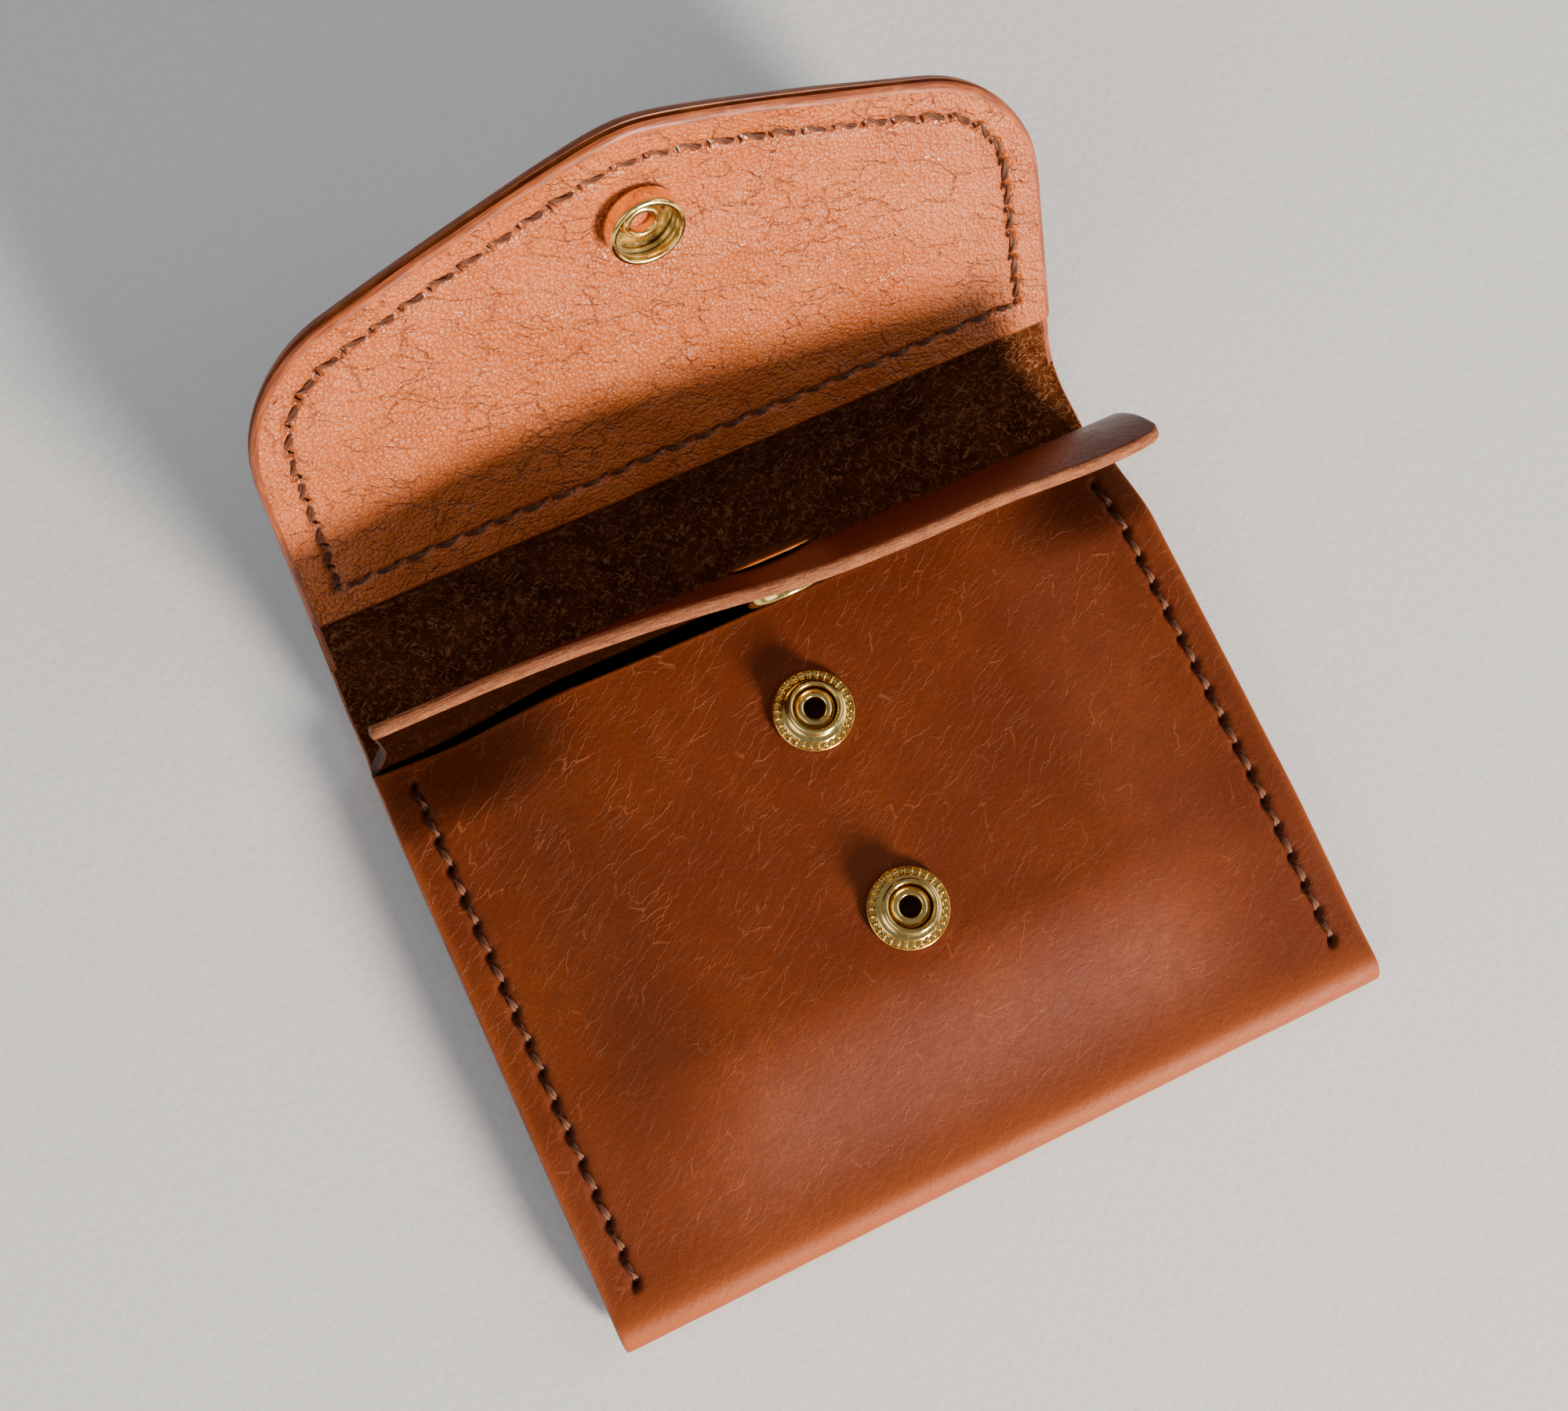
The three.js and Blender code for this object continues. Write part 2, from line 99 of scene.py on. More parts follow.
# Outer flap: straight and bent stretches of its inner face, as (length, bend in degrees)
FLAP_LINE = ((7.6, 0), (10, 64), (43, 0), (23.4, 20))
SPINE_CUT = 14.0  # where the strip's two visual pieces meet
SPINE_TURN = (19.5, 26.0)  # lengths between the spine and the flap, worked into two points that nothing uses
LINING_START = 23.5
SPINE_HALF = 54.0
FLAP_HALF = 51.5
TAPER_START = 8.0  # the flap narrows from here
TAPER_END = 52.0  # to here
FLAP_END = {"half": FLAP_HALF, "apex": 80.2, "slant": 0.35, "corner": 13.7}
APEX_ROUND = 4.0
FLAP_SNAP = 66.3  # how far up the flap its snap is
RIM = 0.9  # how far the flap's rounded rim reaches in from its outline

# Divider and coin flap
DIVIDER_START = 5.2
RISER_Y = 79.3
CREASE_RADIUS = 0.1
COIN_FOLD_Z = 14.6
COIN_END = {"half": 51.4, "apex": 26.5, "slant": 0.16, "corner": 1.4}
COIN_CURL = 0.95  # degrees per mm round the snap, as in the frame
COIN_SNAP = 17.6
SNAP_FLAT = 4.8  # the coin flap keeps that curl this far round its snap
SNAP_EASE = 4.2  # and leaves it over this length
LEFT_CURL = 0.75  # the coin flap's curl at its left end
MIDDLE_CURL = 1.07  # what is added to it on the way across
RIGHT_CURL = 0.55  # and what more is added near the right end

# Stitching
SEAM_X = 49.7
PITCH = 4.0
FIRST_STITCH = 7.4
SEAM_STITCHES = 18
FLAP_INSET = 4.8
SLIT_TURN = math.radians(40)  # how far each hole's slit is turned from the seam's line
SLIT_HALF = (0.85, 0.42)  # half length and half width of a slit
GROOVE_HALF = 0.62  # half width of the groove under the stitches
THREAD_RADIUS = 0.25

# Surfaces
EDGE_ROUND = 0.35  # how far the strip's rounded edge stands out
COIN_ROUND = 0.45  # and the coin flap's

# Lengths along the main strip, from the front panel's mouth
FOLD_START = MOUTH - FOLD_RADIUS
FOLD_END = FOLD_START + math.pi * FOLD_RADIUS
SPINE_START = FOLD_END + SPINE_FOLD_Y - FOLD_RADIUS

# The divider's stretches, in pattern lengths
CREASE_LENGTH = 2.0
RISER_LENGTH = 5.0
CREASE_START = RISER_Y - CREASE_RADIUS - DIVIDER_START
RISER_START = CREASE_START + CREASE_LENGTH
COIN_START = RISER_START + RISER_LENGTH


def stud_height(node):
    """How far up the front panel a stud stands."""
    low, high = box_mm(node)
    return (low[1] + high[1]) / 2 + ORIGIN[1]


STUD_Y = (stud_height("upper_stud"), stud_height("lower_stud"))


# Curves and surfaces ---------------------

def smooth(t):
    """0 below t = 0 and 1 above t = 1, with a soft start and end."""
    t = np.clip(t, 0.0, 1.0)
    return t * t * (3 - 2 * t)


def edge_share(x):
    """0 over the flat middle, 1 along the stitched side edges."""
    return smooth((np.abs(x) - FLAT_HALF) / (SEAM_FLAT - FLAT_HALF))


def open_share(y):
    """0 at the bottom fold, 1 where the pockets are fully open."""
    return smooth((y - FOLD_RADIUS) / RISE)


def back_height(x, y):
    """Height of the back panel's outer face above the table."""
    lift = CORNER_LIFT + (EDGE_LIFT - CORNER_LIFT) * open_share(y)
    return edge_share(x) * lift * smooth((SPINE_FOLD_Y - y) / SETTLE)


def body_thickness(x, y):
    opened = open_share(y)
    return STACK + (1 - edge_share(x)) * (FRONT_TOP - STACK) * opened + FOLD_EXTRA * (1 - opened)


def front_height(x, y):
    return back_height(x, y) + body_thickness(x, y)


def divider_height(x, y):
    return back_height(x, y) + (body_thickness(x, y) - LEATHER) / 2


def along_flap(distance):
    """Y, Z and slope of the flap's inner face at distances from the mouth fold."""
    distance = np.asarray(distance, float)
    y = np.full_like(distance, SPINE_FOLD_Y)
    z = np.full_like(distance, LEATHER)
    slope = np.zeros_like(distance)
    left = distance.copy()
    for length, bend in FLAP_LINE:
        step = np.minimum(left, length)
        turn = math.radians(bend) * step / length
        chord = step * np.sinc(turn / 2 / math.pi)
        y = y + chord * np.cos(slope + turn / 2)
        z = z + chord * np.sin(slope + turn / 2)
        slope = slope + turn
        left = left - step
    return y, z, slope


def flap_place(x, distance, height):
    """A point at a height above the flap's inner face."""
    y, z, slope = along_flap(distance)
    return np.stack([x + 0 * y, y - height * np.sin(slope), z + height * np.cos(slope)], -1)


def strip_place(x, s, depth):
    """A point of the main strip, depth millimetres in from its outer face."""
    x, s, depth = np.broadcast_arrays(*(np.asarray(v, float) for v in (x, s, depth)))
    y_front = np.maximum(MOUTH - s, FOLD_RADIUS)
    z_front = front_height(x, y_front) - depth
    turn = np.clip((s - FOLD_START) / FOLD_RADIUS, 0, math.pi)
    centre = back_height(x, np.full_like(x, FOLD_RADIUS)) + FOLD_RADIUS
    y_fold = FOLD_RADIUS - (FOLD_RADIUS - depth) * np.sin(turn)
    z_fold = centre + (FOLD_RADIUS - depth) * np.cos(turn)
    y_back = FOLD_RADIUS + s - FOLD_END
    z_back = back_height(x, y_back) + depth
    flap = flap_place(x, np.maximum(s - SPINE_START, 0), depth - LEATHER)
    where = [s <= FOLD_START, s <= FOLD_END, s <= SPINE_START]
    y = np.select(where, [MOUTH - s, y_fold, y_back], flap[..., 1])
    z = np.select(where, [z_front, z_fold, z_back], flap[..., 2])
    return np.stack([x, y, z], -1)


def curl_point(height, curl):
    """Y, Z and lean of the coin flap's front face, where it leans forward by curl degrees per mm."""
    bend = np.radians(curl)
    lean = bend * height
    return RISER_Y - (1 - np.cos(lean)) / bend, COIN_FOLD_Z + np.sin(lean) / bend, lean


def coin_place(x, height, depth):
    """The coin flap keeps the frame's curl round its snap, and leans further forward to the right."""
    y, z, lean = curl_point(height, COIN_CURL)
    slack = LEFT_CURL + MIDDLE_CURL * smooth((x + 40) / 85) + RIGHT_CURL * smooth((x - 25) / 25)
    loose_y, loose_z, loose_lean = curl_point(height, slack)
    share = smooth((np.hypot(x, height - COIN_SNAP) - SNAP_FLAT) / SNAP_EASE)
    y = y + share * (loose_y - y)
    z = z + share * (loose_z - z)
    lean = lean + share * (loose_lean - lean)
    return np.stack([x + 0 * y, y + depth * np.cos(lean), z + depth * np.sin(lean)], -1)


def divider_place(x, s, depth):
    """A point of the divider and coin flap, depth millimetres behind its front face."""
    x, s, depth = np.broadcast_arrays(*(np.asarray(v, float) for v in (x, s, depth)))
    y_flat = DIVIDER_START + s
    z_flat = divider_height(x, np.minimum(y_flat, MOUTH)) + LEATHER - depth
    turn = math.pi / 2 * np.clip((s - CREASE_START) / (RISER_START - CREASE_START), 0, 1)
    centre = divider_height(x, np.full_like(x, MOUTH)) + LEATHER + CREASE_RADIUS
    y_crease = RISER_Y - CREASE_RADIUS + (CREASE_RADIUS + depth) * np.sin(turn)
    z_crease = centre - (CREASE_RADIUS + depth) * np.cos(turn)
    up = np.clip((s - RISER_START) / (COIN_START - RISER_START), 0, 1)
    z_riser = centre + (COIN_FOLD_Z - centre) * up
    coin = coin_place(x, np.maximum(s - COIN_START, 0), depth)
    where = [s <= CREASE_START, s <= RISER_START, s <= COIN_START]
    y = np.select(where, [y_flat, y_crease, RISER_Y + depth], coin[..., 1])
    z = np.select(where, [z_flat, z_crease, z_riser], coin[..., 2])
    return np.stack([x, y, z], -1)


def flap_half(distance):
    """Half the width of the spine and flap at a distance from the mouth fold."""
    taper = np.clip((distance - TAPER_START) / (TAPER_END - TAPER_START), 0, 1)
    return SPINE_HALF + (FLAP_HALF - SPINE_HALF) * taper


def end_edge(end, x):
    """How far up a flap's end edge lies: slanted edges, a rounded apex and rounded outer corners."""
    line = end["apex"] - end["slant"] * (np.hypot(x, APEX_ROUND) - APEX_ROUND)
    past = np.maximum(np.abs(x) - (end["half"] - end["corner"]), 0)
    return line - end["corner"] + np.sqrt(np.maximum(end["corner"] ** 2 - past ** 2, 0))


# Meshes ----------------------------------

def outward(points, faces):
    """The faces, turned over if the closed mesh they make is inside out."""
    corners = points[np.array([face[:3] for face in faces])]
    volume = np.einsum("ij,ij->", corners[:, 0], np.cross(corners[:, 1], corners[:, 2]))
    return faces if volume > 0 else [face[::-1] for face in faces]


def add_object(name, data):
    """A new object in the scene."""
    thing = bpy.data.objects.new(name, data)
    bpy.context.scene.collection.objects.link(thing)
    return thing


def make_piece(name, points, faces, materials, slots=None, pattern=None, shades=None, sharp=55):
    """A mesh object from points in millimetres, with Y = 0 at the bottom fold."""
    mesh = bpy.data.meshes.new(name)
    mesh.from_pydata(((points - ORIGIN) * MM).tolist(), [], faces)
    for material in materials:
        mesh.materials.append(material)
    if slots is not None:
        mesh.polygons.foreach_set("material_index", slots)
    if pattern is not None:
        attribute = mesh.attributes.new("pattern", "FLOAT_VECTOR", "POINT")
        attribute.data.foreach_set("vector", pattern.astype(np.float32).ravel())
    for shade, values in (shades or {}).items():
        attribute = mesh.attributes.new(shade, "FLOAT", "POINT")
        attribute.data.foreach_set("value", values.astype(np.float32))
    mesh.shade_smooth()
    mesh.set_sharp_from_angle(angle=math.radians(sharp))
    return add_object(name, mesh)


def border(columns, rows):
    """Grid places (column, row) once round the outside of a grid."""
    low = [(i, 0) for i in range(columns)]
    right = [(columns - 1, j) for j in range(1, rows)]
    high = [(i, rows - 1) for i in range(columns - 2, -1, -1)]
    left = [(0, j) for j in range(rows - 2, 0, -1)]
    return np.array(low + right + high + left)


def border_normals(x, s, places, cut_rows):
    """Unit vectors out of the pattern along its outline; a cut row's own edge gets none."""
    line = np.stack([x[places[:, 0], places[:, 1]], s[places[:, 0], places[:, 1]]], -1)
    along = np.roll(line, -1, 0) - np.roll(line, 1, 0)
    normal = np.stack([along[:, 1], -along[:, 0]], -1)
    normal /= np.maximum(np.linalg.norm(normal, axis=1, keepdims=True), 1e-9)
    last = x.shape[1] - 1
    for row in cut_rows:
        on_row = places[:, 1] == (0 if row == 0 else last)
        corner = (places[:, 0] == 0) | (places[:, 0] == x.shape[0] - 1)
        normal[on_row, 1] = 0
        normal[on_row & ~corner] = 0
        normal[on_row & corner, 0] = np.sign(line[on_row & corner, 0])
    return normal


def edge_profile(t, glued):
    """How far out the edge stands, and its place between the two faces, on the way from low to high."""
    if glued:
        return math.sin(math.pi / 2 * t), 1 - math.cos(math.pi / 2 * t)
    return math.sin(math.pi * t), (1 - math.cos(math.pi * t)) / 2


def slab(name, x, s, place, thickness, round_by, materials, relief, shades, under=None, cut_rows=(),
         glued=False):
    """A sheet of leather with rounded edges.

    x and s are grids of pattern coordinates. The two faces lie at a depth of 0, the low one, and of the
    thickness, the high one. relief and under give how far each of them stands out, and shades gives
    named values per pattern point. The materials are those of the low face, the high face and the edge.
    Where the high face is glued to another layer, it meets the edge at a sharp corner. cut_rows are
    the grid's first or last row where the sheet ends against its other half."""
    columns, rows = x.shape
    places = border(columns, rows)
    normal = border_normals(x, s, places, cut_rows)
    steps = 6
    flat_x, flat_s = x.ravel(), s.ravel()
    low_depth = -relief(flat_x, flat_s)
    high_depth = thickness + (under(flat_x, flat_s) if under else np.zeros_like(flat_x))
    at = places[:, 0] * rows + places[:, 1]
    parts = [np.stack([flat_x, flat_s, low_depth], -1), np.stack([flat_x, flat_s, high_depth], -1)]
    for step in range(1, steps):
        out, share = edge_profile(step / steps, glued)
        out *= round_by
        depth = low_depth[at] * (1 - share) + high_depth[at] * share
        edge_x = flat_x[at] + normal[:, 0] * out
        edge_s = flat_s[at] + normal[:, 1] * out
        parts.append(np.stack([edge_x, edge_s, depth], -1))
    pattern = np.concatenate(parts)
    count = columns * rows
    i, j = np.meshgrid(np.arange(columns - 1), np.arange(rows - 1), indexing="ij")
    corner = (i * rows + j).ravel()
    quad = np.stack([corner, corner + rows, corner + rows + 1, corner + 1], -1)
    between = [2 * count + len(at) * step + np.arange(len(at)) for step in range(steps - 1)]
    rings = [at, *between, at + count]
    edge = [np.stack([a, b, np.roll(b, -1), np.roll(a, -1)], -1) for a, b in zip(rings, rings[1:])]
    faces = np.concatenate([quad, quad[:, ::-1] + count, *edge])
    slots = np.repeat([0, 1, 2], [len(quad), len(quad), len(at) * steps]).astype(np.int32)
    points = place(pattern[:, 0], pattern[:, 1], pattern[:, 2])
    values = {key: shade(pattern[:, 0], pattern[:, 1]) for key, shade in shades.items()}
    return make_piece(name, points, outward(points, faces.tolist()), materials, slots, pattern, values)


def ring_faces(first, rings, sides, closed=False):
    """Quads between rings of points, numbered from the first point, and from the last ring back to the
    first one where they close."""
    faces = []
    for k in range(rings if closed else rings - 1):
        a, b = first + k * sides, first + (k + 1) % rings * sides
        for m in range(sides):
            n = (m + 1) % sides
            faces.append([a + m, a + n, b + n, b + m])
    return faces


def fine_rows(start, end, step):
    """Even places from start to end, about one step apart."""
    return np.linspace(start, end, max(2, int(round((end - start) / step)) + 1))


# Stitches --------------------------------

def seam_runs(side):
    """A side seam's holes as (x, s) from the bottom to the mouth, on the front and on the back."""
    x = np.full(SEAM_STITCHES, side * SEAM_X)
    y = FIRST_STITCH + PITCH * np.arange(SEAM_STITCHES)
    return [np.stack([x, MOUTH - y], -1), np.stack([x, FOLD_END + y - FOLD_RADIUS], -1)]


def flap_run():
    """The flap's holes as (x, distance): up the left side, round the end, down the right, back along
    the lining's lower edge and closed on the first one."""
    inside = {
        "half": FLAP_END["half"] - FLAP_INSET,
        "apex": FLAP_END["apex"] - FLAP_INSET * math.hypot(1, FLAP_END["slant"]),
        "slant": FLAP_END["slant"],
        "corner": FLAP_END["corner"] - FLAP_INSET,
    }
    start = LINING_START + FLAP_INSET
    low_half = float(flap_half(start)) - FLAP_INSET
    turn = np.linspace(-math.pi / 2, math.pi / 2, 721)
    x = inside["half"] * np.sin(turn)
    line = np.concatenate([
        [(-low_half, start)],
        np.stack([x, end_edge(inside, x)], -1),
        [(low_half, start)],
    ])
    around = spaced(line, PITCH)
    across = spaced(np.array([(low_half, start), (-low_half, start)]), PITCH)
    return np.concatenate([around[:-1], across])


def spaced(line, pitch):
    """Points at even distances of about one pitch along a polyline, both ends included."""
    length = np.concatenate([[0], np.cumsum(np.linalg.norm(np.diff(line, axis=0), axis=1))])
    even = np.linspace(0, length[-1], int(round(length[-1] / pitch)) + 1)
    return np.stack([np.interp(even, length, line[:, k]) for k in (0, 1)], -1)


def slit_field(x, s, holes):
    """1 in the middle of each stitch hole along a run, falling to 0 round it."""
    reach = 2.0
    length, width = SLIT_HALF
    field = np.zeros_like(x)
    for (hole_x, hole_s), (along_x, along_s) in zip(holes, run_directions(holes)):
        dx, ds = x - hole_x, s - hole_s
        near = (np.abs(dx) < reach) & (np.abs(ds) < reach)
        turned_x = along_x * math.cos(SLIT_TURN) - along_s * math.sin(SLIT_TURN)
        turned_s = along_x * math.sin(SLIT_TURN) + along_s * math.cos(SLIT_TURN)
        u = dx[near] * turned_x + ds[near] * turned_s
        v = -dx[near] * turned_s + ds[near] * turned_x
        field[near] = np.maximum(field[near], np.exp(-(u / length) ** 2 - (v / width) ** 2))
    return field


def groove_field(x, s, holes):
    """1 along a line of stitches, falling to 0 beside it."""
    reach = PITCH + 0.5
    field = np.zeros_like(x)
    for (ax, a_s), (bx, b_s) in zip(holes, holes[1:]):
        near = (np.abs(x - (ax + bx) / 2) < reach) & (np.abs(s - (a_s + b_s) / 2) < reach)
        dx, ds = bx - ax, b_s - a_s
        share = np.clip(((x[near] - ax) * dx + (s[near] - a_s) * ds) / (dx * dx + ds * ds), 0, 1)
        gap = np.hypot(x[near] - ax - share * dx, s[near] - a_s - share * ds)
        field[near] = np.maximum(field[near], np.exp(-(gap / GROOVE_HALF) ** 2))
    return field


def run_directions(holes):
    """The unit direction of a run of stitches at each of its holes."""
    step = np.gradient(holes, axis=0)
    return step / np.linalg.norm(step, axis=1, keepdims=True)


def strand_line(start, end, strand, number):
    """One strand from a hole to the next: its pattern coordinates, its height above the face, and t and
    the strand's twist along it. It rises from the hole at the start and sinks early into the other one."""
    lengths = 14
    across_gap, height_gap = 0.22, 0.12
    t = np.linspace(0, 1, lengths)
    step = end - start
    across = np.array([-step[1], step[0]]) / np.linalg.norm(step)
    twist = strand + 2 * math.pi * (0.8 * t + 0.37 * number)
    aside = 0.42 * (1 - 2 * t) + across_gap * np.cos(twist)
    height = 0.16 * np.sin(math.pi * t) - 0.14 - 1.3 * np.abs(2 * t - 1) ** 4
    height -= 0.8 * smooth((t - 0.62) / 0.3)
    line = start + step * t[:, None] + across * aside[:, None]
    return line, height + height_gap * np.sin(twist), t, twist


def stitch_mesh(holes, place, face_depth, out):
    """Two-strand thread from each hole to the next. out is -1 where the face looks towards less depth."""
    sides = 7
    turn = np.linspace(0, 2 * math.pi, sides, endpoint=False)
    points, faces, pattern = [], [], []
    count = 0
    for number, (start, end) in enumerate(zip(holes, holes[1:])):
        length = np.linalg.norm(end - start)
        across = np.array([start[1] - end[1], end[0] - start[0]]) / length
        for strand in (0, math.pi):
            line, height, t, twist = strand_line(start, end, strand, number)
            radius = THREAD_RADIUS * (0.8 + 0.2 * np.sin(math.pi * t))[:, None]
            ring = np.stack([
                line[:, None, 0] + across[0] * radius * np.cos(turn),
                line[:, None, 1] + across[1] * radius * np.cos(turn),
                (face_depth + out * height)[:, None] + radius * np.sin(turn),
            ], -1).reshape(-1, 3)
            points.append(place(ring[:, 0], ring[:, 1], ring[:, 2]))
            lengthwise = np.repeat(t * length, sides)
            pattern.append(np.stack([lengthwise, np.tile(turn, len(t)), np.repeat(twist, sides)], -1))
            faces += ring_faces(count, len(t), sides)
            faces.append([count + m for m in range(sides)][::-1])
            faces.append([count + (len(t) - 1) * sides + m for m in range(sides)])
            count += len(ring)
    return np.concatenate(points), faces, np.concatenate(pattern)


def joined(meshes):
    """Several closed meshes as one: points, faces turned right side out, and other values per point."""
    points, faces, *values = zip(*meshes)
    starts = np.cumsum([0] + [len(part) for part in points]).tolist()
    moved = []
    for part, part_faces, start in zip(points, faces, starts):
        moved += [[vertex + start for vertex in face] for face in outward(part, part_faces)]
    return [np.concatenate(points), moved, *(np.concatenate(parts) for parts in values)]


# Materials -------------------------------

class Shader:
    """A material whose nodes are added one call at a time."""

    def __init__(self, name):
        self.material = bpy.data.materials.new(name)
        self.material.use_nodes = True
        self.tree = self.material.node_tree
        self.principled = self.tree.nodes["Principled BSDF"]
        self.pattern = self.add("ShaderNodeAttribute", attribute_name="pattern").outputs["Vector"]

    def add(self, kind, inputs=None, **settings):
        node = self.tree.nodes.new(kind)
        for key, value in settings.items():
            setattr(node, key, value)
        for key, value in (inputs or {}).items():
            self.put(value, node.inputs[key])
        return node

    def put(self, value, socket):
        """Links another node's output to a socket, or gives the socket a plain value."""
        if isinstance(value, bpy.types.NodeSocket):
            self.tree.links.new(value, socket)
        else:
            socket.default_value = (*value, 1.0) if socket.type == "RGBA" else value

    def noise(self, scale, detail, vector=None, rough=0.55):
        """A cloud between 0 and 1. Unless a vector is given, the scale is per millimetre of pattern."""
        inputs = {"Vector": vector or self.pattern, "Scale": scale, "Detail": detail, "Roughness": rough}
        return self.add("ShaderNodeTexNoise", inputs).outputs["Fac"]

    def cells(self, scale, vector, feature="F1"):
        """Distance from the middle of a random cell, or to its edge, over the sheet."""
        node = self.add("ShaderNodeTexVoronoi", {"Vector": vector, "Scale": scale}, feature=feature,
                        voronoi_dimensions="2D")
        return node.outputs["Distance"]

    def cracks(self, vector, width, strength=1.0):
        """Thin lines along the edges of random cells."""
        return self.ramp(self.cells(1.0, vector, "DISTANCE_TO_EDGE"), 0.0, width, strength, 0.0)

    def stretched(self, vector, lengths, turn=0.0):
        """Coordinates that run slowly where a length is large, turned by degrees in the pattern."""
        inputs = {"Vector": vector, "Scale": lengths, "Rotation": (0, 0, math.radians(turn))}
        return self.add("ShaderNodeMapping", inputs, vector_type="TEXTURE").outputs["Vector"]

    def warped(self, scale, amount, vector=None):
        """The pattern coordinates pushed about by a noise, in millimetres."""
        source = vector or self.pattern
        cloud = self.add("ShaderNodeTexNoise", {"Vector": source, "Scale": scale, "Detail": 3.0})
        centred = self.add("ShaderNodeVectorMath", {0: cloud.outputs["Color"], 1: (0.5, 0.5, 0.5)},
                           operation="SUBTRACT").outputs["Vector"]
        scaled = self.add("ShaderNodeVectorMath", {0: centred, "Scale": amount}, operation="SCALE")
        return self.add("ShaderNodeVectorMath", {0: source, 1: scaled.outputs["Vector"]},
                        operation="ADD").outputs["Vector"]

    def ramp(self, value, low, high, start=0.0, end=1.0):
        """start below low and end above high, with a soft step between."""
        inputs = {"Value": value, "From Min": low, "From Max": high, "To Min": start, "To Max": end}
        return self.add("ShaderNodeMapRange", inputs, interpolation_type="SMOOTHSTEP").outputs["Result"]

    def math(self, operation, a, b):
        return self.add("ShaderNodeMath", {0: a, 1: b}, operation=operation).outputs["Value"]

    def mix(self, share, a, b):
        """Colour a turning into colour b as the share goes from 0 to 1."""
        return self.add("ShaderNodeMix", {0: share, 6: a, 7: b}, data_type="RGBA").outputs[2]

    def shade(self, name):
        """One of the values that make_piece stores on the mesh."""
        return self.add("ShaderNodeAttribute", attribute_name=name).outputs["Fac"]

    def bumps(self, *layers):
        """Fine relief laid over itself, from (height, size in mm) pairs. A negative size gives hollows."""
        inputs = {"Strength": 1.0}
        for height, size in layers:
            inputs |= {"Height": height, "Distance": abs(size) * MM}
            inputs["Normal"] = self.add("ShaderNodeBump", inputs, invert=size < 0).outputs["Normal"]
        return inputs["Normal"]

    def finish(self, **sockets):
        """Sets the shader's inputs, with _ for a space in their names, and returns the material."""
        for key, value in sockets.items():
            self.put(value, self.principled.inputs[key.replace("_", " ")])
        return self.material


def grain_leather(name, depth, gloss):
    """Smooth vegetable-tanned leather: fine pores, cloudy brown and orange, and thin pale veins.

    depth is how far it is painted dark as shade, from 0 to 1, and gloss how far it is polished."""
    shader = Shader(name)
    cloud = shader.noise(0.05, 4.0)
    mottle = shader.noise(0.40, 5.0, rough=0.65)
    base = shader.mix(shader.ramp(cloud, 0.35, 0.65), (0.134, 0.0190, 0.0006), (0.174, 0.0285, 0.0011))
    base = shader.mix(shader.ramp(mottle, 0.35, 0.75, 0.0, 0.8), base, (0.117, 0.0190, 0.0008))
    wavy = shader.warped(1.1, 0.85, shader.warped(0.14, 3.5))
    long_veins = shader.cracks(shader.stretched(wavy, (14.0, 1.9, 1.0), -33), 0.026)
    short_veins = shader.cracks(shader.stretched(wavy, (8.0, 1.0, 1.0), -25), 0.040, 0.8)
    long_share = shader.ramp(shader.noise(0.16, 4.0, wavy), 0.41, 0.57)
    short_share = shader.ramp(shader.noise(0.23, 4.0, wavy), 0.42, 0.64)
    veins = shader.math("MAXIMUM", shader.math("MULTIPLY", long_veins, long_share),
                        shader.math("MULTIPLY", short_veins, short_share))
    veins = shader.math("MULTIPLY", veins, shader.ramp(shader.shade("veins"), 0.0, 1.0, 0.30, 1.0))
    speckle = shader.ramp(shader.noise(2.2, 4.0, rough=0.7), 0.45, 0.75, 0.0, 0.40)
    base = shader.mix(speckle, base, (0.075, 0.0095, 0.0003))
    colour = shader.mix(shader.math("MULTIPLY", veins, 0.36), base, (0.50, 0.165, 0.055))
    # lighter where the edge shade says: rubbed edges, and on the body strip a painted highlight along the
    # bottom fold
    colour = shader.mix(shader.shade("edge"), colour, (0.32, 0.066, 0.011))
    # painted shade: the whole face is darkened by depth
    colour = shader.mix(depth, colour, (0.030, 0.0055, 0.0012))
    # painted shade in the stitch holes, the seam grooves and the stud holes
    colour = shader.mix(shader.shade("stitch"), colour, (0.030, 0.0065, 0.0018))
    pores = shader.noise(4.5, 3.0, rough=0.7)
    skin = shader.noise(1.3, 4.0)
    normal = shader.bumps((pores, 0.030), (skin, 0.070), (veins, 0.050))
    roughness = shader.ramp(mottle, 0.2, 0.8, 0.50 - gloss, 0.62 - gloss)
    return shader.finish(Base_Color=colour, Roughness=roughness, Normal=normal, Specular_IOR_Level=0.20)


